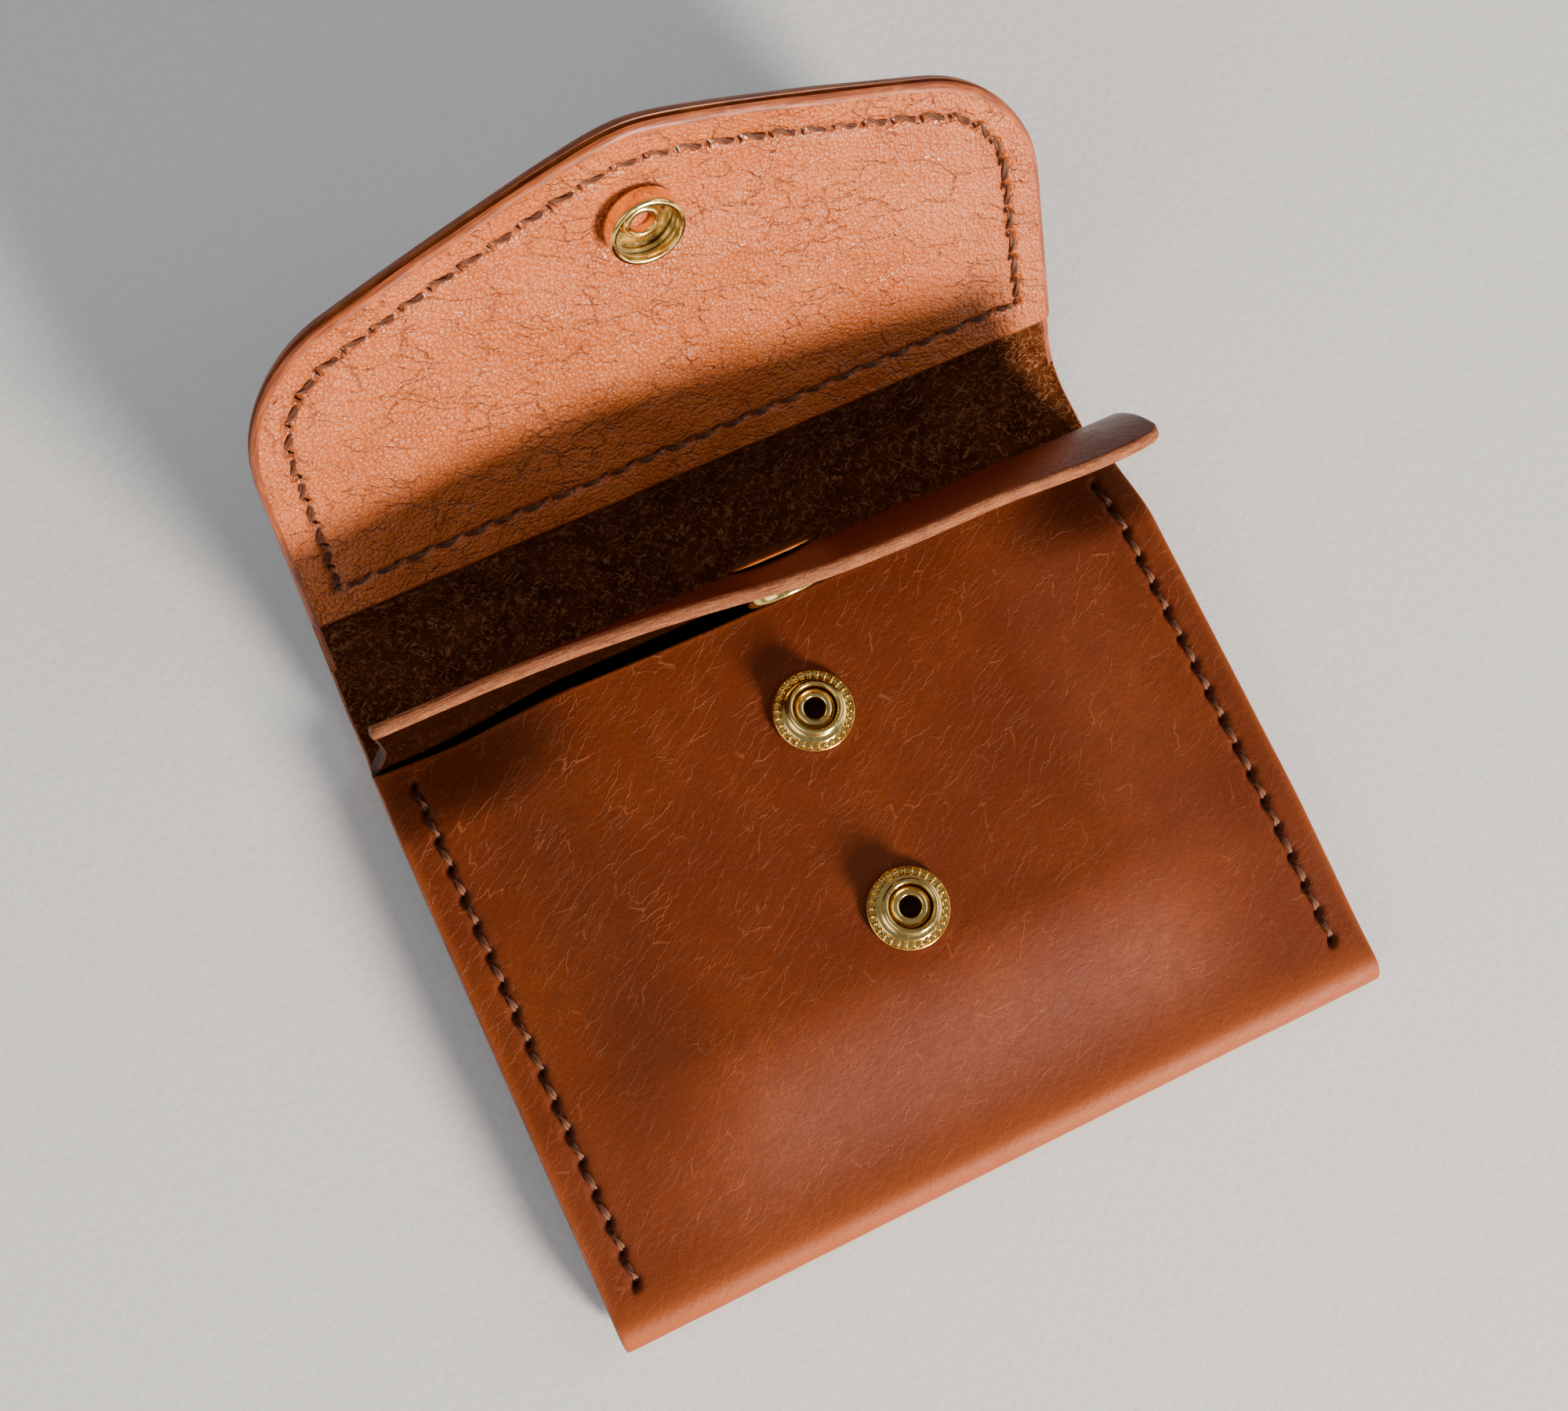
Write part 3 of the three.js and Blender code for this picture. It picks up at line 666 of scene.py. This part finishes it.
def lining_leather():
    """Softer, lighter leather: a fine pebbled grain, broken up by creases."""
    shader = Shader("lining_grain")
    drift = shader.warped(0.12, 6.0)
    ragged = shader.warped(0.9, 1.0, drift)
    patch = shader.ramp(shader.noise(0.07, 3.0), 0.40, 0.56, 0.25, 1.0)
    faint = shader.ramp(shader.noise(0.18, 4.0, ragged), 0.36, 0.60)
    creases = shader.cracks(shader.stretched(ragged, (3.6, 1.9, 1.0), -25), 0.10)
    folds = shader.cracks(shader.stretched(ragged, (12.0, 4.5, 1.0), -30), 0.040)
    lines = shader.math("MAXIMUM", shader.math("MULTIPLY", creases, patch), folds)
    lines = shader.math("MULTIPLY", lines, faint)
    pits = shader.ramp(shader.cells(1.9, shader.warped(1.6, 0.45)), 0.25, 0.75)
    cloud = shader.noise(0.09, 4.0)
    base = shader.mix(shader.ramp(cloud, 0.3, 0.7), (0.50, 0.108, 0.021), (0.60, 0.146, 0.032))
    colour = shader.mix(shader.math("MULTIPLY", pits, 0.40), base, (0.30, 0.060, 0.010))
    colour = shader.mix(shader.math("MULTIPLY", lines, 0.60), colour, (0.17, 0.030, 0.006))
    colour = shader.mix(shader.shade("edge"), colour, (0.36, 0.070, 0.009))
    # painted shade in the stitch holes and along the seam groove
    colour = shader.mix(shader.shade("stitch"), colour, (0.045, 0.010, 0.003))
    normal = shader.bumps((pits, -0.12), (lines, -0.14), (shader.noise(0.20, 3.0), 0.90))
    roughness = shader.ramp(cloud, 0.3, 0.7, 0.30, 0.40)
    return shader.finish(Base_Color=colour, Roughness=roughness, Normal=normal)


def suede(name, depth):
    """The flesh side: brown fibres lying every way. depth is how far it is painted dark as shade, from 0
    to 1.
    """
    shader = Shader(name)
    warped = shader.warped(0.7, 2.2)
    one_way = shader.noise(1.0, 3.0, shader.stretched(warped, (2.0, 0.30, 1.0), 35), 0.6)
    other_way = shader.noise(1.0, 3.0, shader.stretched(warped, (1.8, 0.27, 1.0), -50), 0.6)
    fibre = shader.math("MAXIMUM", one_way, other_way)
    cloud = shader.noise(0.22, 4.0)
    base = shader.mix(shader.ramp(cloud, 0.3, 0.7), (0.050, 0.0105, 0.0022), (0.095, 0.025, 0.0070))
    tips = shader.ramp(fibre, 0.53, 0.68, 0.0, 0.75)
    colour = shader.mix(tips, base, (0.36, 0.140, 0.058))
    # painted shade in the stitch holes and along the seam grooves
    colour = shader.mix(shader.shade("stitch"), colour, (0.010, 0.003, 0.001))
    # painted shade: the whole face is darkened by depth
    colour = shader.mix(depth, colour, (0.010, 0.0022, 0.0006))
    normal = shader.bumps((fibre, 0.60), (shader.noise(3.0, 3.0, rough=0.8), 0.14))
    return shader.finish(Base_Color=colour, Roughness=0.95, Normal=normal, Specular_IOR_Level=0.0)


def raw_edge():
    """A cut edge: fibres in thin layers, pale brown, with the burnisher's orange left in places. Away from
    the flap's end it is painted nearly black, as shade on the edge's lower parts towards the pocket."""
    shader = Shader("cut_edge")
    layers = shader.noise(1.0, 5.0, shader.stretched(shader.pattern, (2.2, 2.2, 0.22)), 0.7)
    fuzz = shader.noise(3.2, 3.0, rough=0.8)
    streak = shader.noise(1.0, 4.0, shader.stretched(shader.warped(0.3, 1.0), (6.0, 6.0, 0.25)), 0.6)
    base = shader.mix(shader.ramp(layers, 0.38, 0.66), (0.17, 0.040, 0.0090), (0.36, 0.115, 0.036))
    colour = shader.mix(shader.ramp(fuzz, 0.45, 0.75, 0.0, 0.45), base, (0.46, 0.205, 0.100))
    colour = shader.mix(shader.ramp(streak, 0.56, 0.64, 0.0, 0.65), colour, (0.12, 0.024, 0.006))
    # painted shade: near black where the rim value falls to 0, away from the coin flap's end
    colour = shader.mix(shader.shade("rim"), (0.035, 0.008, 0.002), colour)
    normal = shader.bumps((layers, 0.14), (fuzz, 0.10))
    return shader.finish(Base_Color=colour, Roughness=0.66, Normal=normal, Specular_IOR_Level=0.3)


def burnished_edge():
    """An edge rubbed smooth and dark, still showing faint layers."""
    shader = Shader("burnished_edge")
    layers = shader.noise(1.0, 4.0, shader.stretched(shader.pattern, (5.0, 5.0, 0.20)), 0.6)
    cloud = shader.noise(0.35, 4.0)
    base = shader.mix(shader.ramp(layers, 0.40, 0.65), (0.20, 0.036, 0.0050), (0.42, 0.090, 0.014))
    colour = shader.mix(shader.ramp(cloud, 0.5, 0.8, 0.0, 0.5), base, (0.52, 0.145, 0.030))
    normal = shader.bumps((layers, 0.06), (shader.noise(3.0, 3.0), 0.02))
    return shader.finish(Base_Color=colour, Roughness=0.42, Normal=normal)


def thread():
    """Waxed brown thread with fine plies, worn pale where each stitch comes out of its hole."""
    shader = Shader("waxed_thread")
    twisted = {"Vector": shader.pattern, "Scale": 0.9, "Distortion": 1.5, "Detail": 2.0}
    plies = shader.add("ShaderNodeTexWave", twisted, bands_direction="DIAGONAL").outputs["Fac"]
    along = shader.add("ShaderNodeSeparateXYZ", {"Vector": shader.pattern}).outputs["X"]
    base = shader.mix(shader.ramp(plies, 0.2, 0.8), (0.055, 0.013, 0.0045), (0.13, 0.038, 0.015))
    colour = shader.mix(shader.ramp(along, 0.3, 2.0, 0.40, 0.0), base, (0.42, 0.19, 0.11))
    normal = shader.bumps((plies, 0.04))
    return shader.finish(Base_Color=colour, Roughness=0.65, Normal=normal, Specular_IOR_Level=0.25)


def metal(name, light, dark, roughness):
    """Polished plate with faint tarnish and rubbing marks."""
    shader = Shader(name)
    place = shader.add("ShaderNodeTexCoord").outputs["Object"]
    cloud = shader.noise(420.0, 4.0, place)
    rub = shader.noise(2600.0, 3.0, shader.stretched(place, (1.0, 4.0, 1.0), 20))
    colour = shader.mix(shader.ramp(cloud, 0.4, 0.75), light, dark)
    rough = shader.ramp(rub, 0.3, 0.8, roughness, roughness + 0.14)
    normal = shader.bumps((cloud, 0.012))
    return shader.finish(Base_Color=colour, Metallic=1.0, Roughness=rough, Normal=normal)


TAN = grain_leather("tan_grain", 0.0, 0.0)
# a glossier copy of the tan, painted darker as shade for the coin flap's back face, which looks away from
# the light
SHADED_POLISHED_TAN = grain_leather("shaded_polished_tan_grain", 0.50, 0.24)
LINING_TAN = lining_leather()
SUEDE = suede("flesh_suede", 0.0)
# the suede painted nearly black as shade, for the coin flap's front face down at the pocket mouth
SHADED_FLESH = suede("shaded_flesh", 0.92)
RAW = raw_edge()
BURNISHED = burnished_edge()
THREAD = thread()
BRASS = metal("brass", (0.93, 0.66, 0.22), (0.72, 0.44, 0.12), 0.14)
STEEL = metal("spring_steel", (0.66, 0.60, 0.46), (0.36, 0.32, 0.24), 0.24)


# Leather pieces --------------------------

SEAM_RUNS = [seam_runs(side) for side in (-1, 1)]
STRIP_RUNS = SEAM_RUNS[0] + SEAM_RUNS[1]
FLAP_RUN = flap_run()


def seam_columns():
    """Places across the body: close together along the seams and the side edges."""
    seam_side = 47.4
    middle = fine_rows(-seam_side, seam_side, 1.0)
    side = fine_rows(seam_side + 0.4, HALF_WIDTH - EDGE_ROUND, 0.31)
    return np.concatenate([-side[::-1], middle, side])


def packed(half, count, share):
    """Places from -half to half, closer together towards both ends."""
    turn = np.linspace(-1, 1, count)
    return half * (share * np.sin(math.pi / 2 * turn) + (1 - share) * turn)


def gentle(x, s, size, seed):
    """A slow random unevenness between about -1 and 1."""
    return np.array([noise.noise(Vector((a / size, b / size, seed))) for a, b in zip(x, s)])


def stitch_pull(x, s, runs, groove_depth, slit_depth):
    """How far the stitches pull a face in."""
    return sum(groove_depth * groove_field(x, s, run) + slit_depth * slit_field(x, s, run) for run in runs)


def painted_stitch_shade(x, s, runs, seam_share):
    """Painted shade: 1 in the stitch holes, and less along the seams' grooves."""
    grooves = [seam_share * groove_field(x, s, run) for run in runs]
    return np.max([slit_field(x, s, run) for run in runs] + grooves, axis=0)


def stud_gaps(x, s):
    """Distances from the middle of each stud."""
    return [np.hypot(x, s - (MOUTH - stud_y)) for stud_y in STUD_Y]


def strip_relief(x, s):
    """Stitches pull the leather in, and each stud has a hole and a ring pressed round it."""
    hole_depth, hole_radius = 1.5, 2.0
    ring_depth, ring_radius = 0.10, 6.2
    rise = 0.03 * gentle(x, s, 9.0, 3.0) + 0.012 * gentle(x, s, 2.6, 7.0)
    rise -= stitch_pull(x, s, STRIP_RUNS, groove_depth=0.42, slit_depth=0.85)
    for gap in stud_gaps(x, s):
        rise -= hole_depth * smooth((hole_radius - gap) / 0.6)
        rise -= ring_depth * np.exp(-((gap - ring_radius) / 1.2) ** 2)
    return rise


def strip_painted_hole_shade(x, s):
    """Painted shade in the stitch holes, along the seams' grooves and down the stud holes."""
    dark = painted_stitch_shade(x, s, STRIP_RUNS, seam_share=0.32)
    # painted shade down each stud's hole
    for gap in stud_gaps(x, s):
        dark = np.maximum(dark, smooth((2.2 - gap) / 0.4))
    return dark


def strip_rub_and_fold_highlight(x, s):
    """1 where the leather is rubbed lighter at its side edges and mouth edge, and a painted highlight
    along the bottom fold, where the low light catches its curve.
    """
    side = np.exp(-((HALF_WIDTH - np.abs(x)) / 0.9) ** 2)
    mouth = np.exp(-((s - MOUTH_DIP * (1 - (x / HALF_WIDTH) ** 2)) / 0.7) ** 2)
    # painted highlight: the fold's curve is coloured lighter, as if lit by the low key
    fold = np.exp(-((s - FOLD_START - 2) / 3.5) ** 2)
    return np.maximum(0.7 * np.maximum(side, mouth), 0.9 * fold)


def strip_vein_shade(x, s):
    """Veins are thick near the mouth and to the left, and rare by the bottom fold."""
    near_mouth = smooth((62 - s) / 55)
    leftward = smooth((30 - x) / 90)
    return 0.25 + 0.75 * near_mouth * (0.55 + 0.45 * leftward)


def body_strip():
    """Front panel, bottom fold, back panel and the near half of the spine."""
    low_stitch = FIRST_STITCH - 3
    high_stitch = FIRST_STITCH + PITCH * SEAM_STITCHES
    front = fine_rows(MOUTH - high_stitch - 0.6, MOUTH - low_stitch, 0.42)
    fold = fine_rows(FOLD_START - 0.6, FOLD_END + 0.6, 0.6)
    back = fine_rows(FOLD_END + 1.4, FOLD_END + high_stitch - FOLD_RADIUS, 0.55)
    spine = fine_rows(SPINE_START + 0.4, SPINE_START + SPINE_CUT, 0.7)
    rows = np.concatenate([front, fold, back, spine])
    x, s = np.meshgrid(seam_columns(), rows, indexing="ij")
    mouth = MOUTH_DIP * (1 - (x / HALF_WIDTH) ** 2) + EDGE_ROUND
    s = s + (mouth - rows[0]) * np.clip(1 - (s - rows[0]) / 6, 0, 1)
    distance = np.maximum(s - SPINE_START, 0)
    half = np.where(s > SPINE_START, flap_half(distance), HALF_WIDTH)
    x = x * (1 + (half / HALF_WIDTH - 1) * smooth(distance / SPINE_CUT * 6))
    shades = {"stitch": strip_painted_hole_shade, "edge": strip_rub_and_fold_highlight, "veins": strip_vein_shade}
    piece = slab("body_leather", x, s, strip_place, LEATHER, EDGE_ROUND, [TAN, SUEDE, BURNISHED],
                 strip_relief, shades, cut_rows=(-1,))
    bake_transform(piece)
    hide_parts("main_shell")


def flap_grid(start, inset, rows, columns):
    """Grid over the flap from a distance to its end edge, inset from its outline."""
    across = packed(FLAP_HALF, columns, 0.45)
    end = end_edge(FLAP_END, across)
    share = np.linspace(0, 1, rows)
    distance = start + (end[:, None] - inset - start) * share[None, :]
    x = across[:, None] * (flap_half(distance) - inset) / FLAP_HALF
    return x, distance


def flap_pull(x, distance):
    """How far the flap's stitches pull a face in."""
    return stitch_pull(x, distance, [FLAP_RUN], groove_depth=0.30, slit_depth=0.60)


def flap_painted_hole_shade(x, distance):
    """Painted shade in the flap's stitch holes, and less along its seam's groove."""
    return painted_stitch_shade(x, distance, [FLAP_RUN], seam_share=0.28)


def flap_edge_shade(x, distance):
    """1 at the flap's outline, where the leather is rubbed."""
    side = flap_half(distance) - np.abs(x)
    end = (end_edge(FLAP_END, np.clip(x, -FLAP_HALF, FLAP_HALF)) - distance) * 0.9
    return 0.75 * np.exp(-(np.minimum(side, end) / 1.1) ** 2)


def bend_with_flap(piece):
    """Bakes a sheet's place into its mesh. The points where the spine turns into the flap are worked out,
    but nothing uses them.
    """
    start, end = (row_point(*flap_place(0.0, distance, 0.0)) for distance in SPINE_TURN)
    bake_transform(piece)
    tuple(start)
    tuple(end)


def flap_strip():
    """The far half of the spine and the outer flap, smooth side out."""
    x, distance = flap_grid(SPINE_CUT, RIM, 175, 190)

    def place(px, d, depth):
        return flap_place(px, d, depth - LEATHER)

    def relief(px, d):
        return 0.06 * gentle(px, d, 9.0, 21.0) - flap_pull(px, d)

    shades = {
        "stitch": flap_painted_hole_shade,
        "edge": flap_edge_shade,
        "veins": lambda px, d: np.full_like(px, 0.35),
    }
    piece = slab("flap_leather", x, distance, place, LEATHER, RIM, [TAN, SUEDE, BURNISHED],
                 relief, shades, cut_rows=(0,), glued=True)
    bend_with_flap(piece)
    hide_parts("flap_spine", "outer_flap")


def lining_relief(x, distance):
    """A soft skin with shallow hollows, drawn in by the stitches and round the socket."""
    soft = 0.32 * gentle(x, distance, 10.0, 31.0) + 0.06 * gentle(x, distance, 2.6, 37.0)
    socket = np.hypot(x, distance - FLAP_SNAP)
    return soft - flap_pull(x, distance) - 0.25 * np.exp(-((socket - 5.2) / 1.4) ** 2)


def flap_lining():
    """The lighter sheet inside the flap. It reaches down to the flap's leather, which it is glued to."""
    x, distance = flap_grid(LINING_START, RIM, 190, 230)

    def place(px, d, depth):
        return flap_place(px, d, LINING_GAP + LINING - depth)

    shades = {"stitch": flap_painted_hole_shade, "edge": flap_edge_shade}
    piece = slab("lining", x, distance, place, LINING + LINING_GAP, RIM, [LINING_TAN, SUEDE, BURNISHED],
                 lining_relief, shades, glued=True)
    bend_with_flap(piece)
    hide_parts("flap_lining")


def divider():
    """The sheet between the pockets, which goes on above the mouth as the coin flap."""
    flat = fine_rows(0.3, CREASE_START, 2.0)
    crease = fine_rows(CREASE_START + 0.25, RISER_START, 0.25)
    riser = fine_rows(RISER_START + 0.5, COIN_START, 0.5)
    rows = np.concatenate([flat, crease, riser])
    half = COIN_END["half"]
    across = packed(half, 150, 0.4)
    body_x = across * (HALF_WIDTH - 0.4) / half
    coin_x = across * (1 - COIN_ROUND / half)
    end = end_edge(COIN_END, across) - COIN_ROUND + 0.10 * gentle(across, 0 * across, 5.0, 41.0)
    coin_s = COIN_START + end[:, None] * np.linspace(0, 1, 48)[1:]
    s = np.concatenate([np.tile(rows, (len(across), 1)), coin_s], 1)
    narrow = smooth((s - CREASE_START) / (COIN_START - CREASE_START))
    x = body_x[:, None] + (coin_x - body_x)[:, None] * narrow

    def below_end(px, ps):
        return end_edge(COIN_END, np.clip(px, -half, half)) - (ps - COIN_START)

    def unevenness(px, ps):
        return 0.05 * gentle(px, ps, 6.0, 47.0)

    shades = {
        "edge": lambda px, ps: 0.6 * np.exp(-(below_end(px, ps) / 0.9) ** 2),
        # rim: 1 near the coin flap's end; below it the cut edge is painted dark as shade
        "rim": lambda px, ps: smooth((4.5 - below_end(px, ps)) / 2),
        "veins": lambda px, ps: np.full_like(px, 0.3),
    }
    piece = slab("divider_and_coin_flap", x, s, divider_place, LEATHER, COIN_ROUND,
                 [SHADED_FLESH, SHADED_POLISHED_TAN, RAW], unevenness, shades, under=unevenness)
    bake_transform(piece)
    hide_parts("divider_panel", "coin_flap")


# Threads ---------------------------------

THREAD_SINK = 0.15  # how deep in the leather's face the threads lie


def thread_piece(name, runs, body, node):
    """Stitches along runs, each given as holes, place function, depth of the face and the way out."""
    points, faces, pattern = joined([stitch_mesh(*run) for run in runs])
    piece = make_piece(name, points, faces, [THREAD], pattern=pattern, sharp=80)
    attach(piece, body)
    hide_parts(node)


def threads():
    """Each side seam on the front and the back, and the flap's seam inside and outside."""
    for side, seam in zip(("left", "right"), SEAM_RUNS):
        runs = [(run, strip_place, THREAD_SINK, -1) for run in seam]
        thread_piece(f"{side}_stitches", runs, "body", f"{side}_seam_thread")
    inside = (FLAP_RUN, flap_place, LINING_GAP + LINING - THREAD_SINK, 1)
    outside = (FLAP_RUN, flap_place, THREAD_SINK - LEATHER, -1)
    thread_piece("flap_stitches", [inside, outside], "flap", "flap_seam_thread")


# Snaps -----------------------------------

def rounded(outline, closed):
    """A polyline with its corners cut twice, so that it turns in small steps."""
    points = np.array(outline, float)
    for _ in range(2):
        after = np.roll(points, -1, 0) if closed else points[1:]
        before = points if closed else points[:-1]
        cut = np.stack([0.8 * before + 0.2 * after, 0.2 * before + 0.8 * after], 1).reshape(-1, 2)
        points = cut if closed else np.concatenate([points[:1], cut, points[-1:]])
    return points


def turned(outline):
    """A turned part about Z from its (radius, height) outline, which closes on itself or on the axis."""
    turns = 72
    closed = outline[0][0] > 0
    line = rounded(outline, closed)
    angle = np.linspace(0, 2 * math.pi, turns, endpoint=False)
    radius, height = line[:, 0], line[:, 1]
    points = np.stack([
        radius[:, None] * np.cos(angle),
        radius[:, None] * np.sin(angle),
        np.repeat(height[:, None], turns, 1),
    ], -1).reshape(-1, 3)
    return points, ring_faces(0, len(line), turns, closed)


def ball(centre, radius):
    """A small bead as a closed eight-sided ball."""
    rings, sides = 5, 8
    lift = np.linspace(-math.pi / 2, math.pi / 2, rings + 2)[1:-1]
    angle = np.linspace(0, 2 * math.pi, sides, endpoint=False)
    body = np.stack([
        np.outer(np.cos(lift), np.cos(angle)),
        np.outer(np.cos(lift), np.sin(angle)),
        np.repeat(np.sin(lift)[:, None], sides, 1),
    ], -1).reshape(-1, 3)
    points = np.concatenate([body, [(0, 0, -1), (0, 0, 1)]]) * radius + centre
    faces = ring_faces(0, rings, sides)
    low, high = rings * sides, rings * sides + 1
    for m in range(sides):
        n = (m + 1) % sides
        faces.append([low, n, m])
        faces.append([high, (rings - 1) * sides + m, (rings - 1) * sides + n])
    return points, faces


def tidy_poles(piece):
    """Joins the points that a turned part has on its axis."""
    mesh = bmesh.new()
    mesh.from_mesh(piece.data)
    bmesh.ops.remove_doubles(mesh, verts=mesh.verts, dist=1e-6)
    mesh.to_mesh(piece.data)
    mesh.free()


METALS = {"brass": BRASS, "spring_steel": STEEL}


def snap_piece(name, solids, place, slope, body, node, slot="brass"):
    """A metal part at a place, its axis turned from straight up by the slope of the leather under it."""
    points, faces = joined(solids)
    turn = np.array(Matrix.Rotation(slope, 3, "X"))
    piece = make_piece(name, points @ turn.T + np.array(place), faces, [METALS[slot]], sharp=38)
    tidy_poles(piece)
    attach(piece, body)
    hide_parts(node)


def stud_solids():
    """A stud on a plate with a ring of beads, from its (radius, height) outline."""
    plate = turned([
        (1.95, 0.1), (5.35, 0.1), (5.35, 0.55), (5.2, 0.7), (5.06, 0.42), (4.36, 0.42), (4.2, 0.72),
        (3.6, 0.84), (3.15, 1.2), (3.05, 1.8), (3.35, 2.1), (3.62, 2.35), (3.62, 2.75), (3.35, 3.0),
        (3.0, 3.0), (2.8, 2.7), (2.75, 1.6), (1.95, 1.6),
    ])
    beads, ring_radius = 30, 4.72
    ring = [2 * math.pi * k / beads for k in range(beads)]
    places = [(ring_radius * math.cos(a), ring_radius * math.sin(a), 0.52) for a in ring]
    return [plate] + [ball(place, 0.31) for place in places]


def stud_post_solids():
    """The eyelet that holds a stud: a flange behind the leather and a tube rolled over in the stud."""
    back = -LEATHER + 0.05
    return [turned([
        (1.35, back), (4.7, back), (4.7, back + 0.5), (1.7, back + 0.5), (1.7, 1.75),
        (2.4, 1.75), (2.45, 2.1), (2.05, 2.4), (1.6, 2.4), (1.35, 2.15),
    ])]


def socket_solids():
    """A cup with grooves inside, where the spring sits."""
    return [turned([
        (1.95, 0.3), (4.4, 0.3), (4.7, 0.6), (4.7, 2.7), (4.55, 3.0), (4.25, 3.12), (3.95, 3.05),
        (3.84, 2.8), (3.84, 2.3), (4.2, 2.1), (4.25, 1.9), (3.95, 1.75), (4.25, 1.6), (4.25, 0.8),
        (1.95, 0.7),
    ])]


def spring_solids():
    """A flat wire ring with a gap where its ends meet."""
    gap = math.radians(24)
    angle = np.linspace(gap / 2, 2 * math.pi - gap / 2, 60)
    section = [(4.1, 1.1), (4.1, 1.6), (3.74, 1.6), (3.74, 1.1)]
    points = np.array([(r * math.cos(a), r * math.sin(a), z) for a in angle for r, z in section])
    end = 4 * (len(angle) - 1)
    ends = [[3, 2, 1, 0], [end, end + 1, end + 2, end + 3]]
    return [(points, ring_faces(0, len(angle), 4) + ends)]


CAP_GAP = 0.2  # between a cap and the leather under it


def snap_post_solids(thickness):
    """The tube that holds a socket and its cap, through leather of some thickness."""
    back = -thickness - CAP_GAP
    return [turned([
        (0, back - 0.2), (4.5, back - 0.2), (4.5, back), (1.7, back), (1.7, 0.85), (2.3, 0.85),
        (2.35, 1.1), (2.0, 1.32), (1.6, 1.32), (1.35, 1.1), (1.35, back + 0.3), (0, back + 0.3),
    ])]


def cap_solids(thickness):
    """The low domed cap on the other side of the leather from its socket."""
    back = -thickness - CAP_GAP
    return [turned([
        (0, back - 0.68), (2.5, back - 0.64), (4.3, back - 0.48), (5.15, back - 0.28), (5.4, back - 0.08),
        (5.35, back), (4.8, back), (4.8, back - 0.3), (0, back - 0.35),
    ])]


def snaps():
    """Both studs with their eyelets, and the four parts of each flap's snap."""
    for level, y in zip(("upper", "lower"), STUD_Y):
        place = (0.0, y, float(front_height(0.0, y)))
        snap_piece(f"{level}_ring_stud", stud_solids(), place, 0.0, "body", f"{level}_stud")
        snap_piece(f"{level}_ring_stud_eyelet", stud_post_solids(), place, 0.0, "body",
                   f"{level}_stud_post")
    flap_spot = flap_place(0.0, FLAP_SNAP, LINING_GAP + LINING)
    flap_slope = float(along_flap(FLAP_SNAP)[2])
    y, z, lean = curl_point(COIN_SNAP, COIN_CURL)
    places = (
        ("flap", "flap", flap_spot, flap_slope, LEATHER + LINING_GAP + LINING),
        ("coin", "coin_flap", (0.0, y, z), math.pi / 2 + lean, LEATHER),
    )
    for prefix, body, place, slope, thickness in places:
        parts = (
            ("cap", cap_solids(thickness), "brass"),
            ("post", snap_post_solids(thickness), "brass"),
            ("socket", socket_solids(), "brass"),
            ("spring", spring_solids(), "spring_steel"),
        )
        for part, solids, slot in parts:
            snap_piece(f"{prefix}_ring_{part}", solids, place, slope, body, f"{prefix}_snap_{part}", slot)


# Room ------------------------------------

def floor():
    """A plain pale table top."""
    half = 1.5
    corners = [(-half, -half, 0), (half, -half, 0), (half, half, 0), (-half, half, 0)]
    mesh = bpy.data.meshes.new("floor")
    mesh.from_pydata(corners, [], [(0, 1, 2, 3)])
    shader = Shader("pale_table")
    place = shader.add("ShaderNodeTexCoord").outputs["Object"]
    grain = shader.noise(900.0, 3.0, place)
    colour = shader.mix(shader.ramp(grain, 0.3, 0.7), (0.80, 0.79, 0.775), (0.84, 0.83, 0.815))
    normal = shader.bumps((grain, 0.06))
    mesh.materials.append(shader.finish(Base_Color=colour, Roughness=0.55, Normal=normal))
    add_object("floor", mesh)


def area_light(name, direction, distance, size, power, colour):
    """A round lamp that shines on the card holder from a direction."""
    light = bpy.data.lights.new(name, "AREA")
    light.shape = "DISK"
    light.size = size
    light.energy = power
    light.color = colour
    lamp = add_object(name, light)
    away = Vector(direction).normalized()
    lamp.location = away * distance
    lamp.rotation_mode = "QUATERNION"
    lamp.rotation_quaternion = away.to_track_quat("Z", "Y")


def lights():
    """A low warm key from in front, two soft cool fills and a pale sky."""
    area_light("key", (0.27, -0.92, 0.34), 1.3, 0.34, 48.0, (1.0, 0.90, 0.78))
    for name, direction in (("left_fill", (-1.0, -0.25, 0.75)), ("right_fill", (1.0, -0.15, 0.80))):
        area_light(name, direction, 1.4, 1.0, 5.2, (0.95, 0.97, 1.0))
    world = bpy.data.worlds.new("studio")
    world.use_nodes = True
    background = world.node_tree.nodes["Background"]
    background.inputs["Color"].default_value = (0.86, 0.90, 0.95, 1.0)
    background.inputs["Strength"].default_value = 0.25
    bpy.context.scene.world = world


def camera():
    """The photo's view: nearly from above and from the left, with the camera rolled to one side."""
    place = Vector(row_point(-43.3, 26.73, 260.65))
    aim = Vector(row_point(-2.54, 64.75, 10.0))
    roll = math.radians(22.08)
    data = bpy.data.cameras.new("camera")
    data.lens = 45.63
    data.sensor_width = 36.0
    data.clip_start, data.clip_end = 0.01, 10.0
    eye = add_object("camera", data)
    eye.location = place
    eye.rotation_mode = "QUATERNION"
    eye.rotation_quaternion = (aim - place).to_track_quat("-Z", "Y") @ Quaternion((0, 0, 1), roll)
    bpy.context.scene.camera = eye


body_strip()
flap_strip()
flap_lining()
divider()
threads()
snaps()
floor()
lights()
camera()
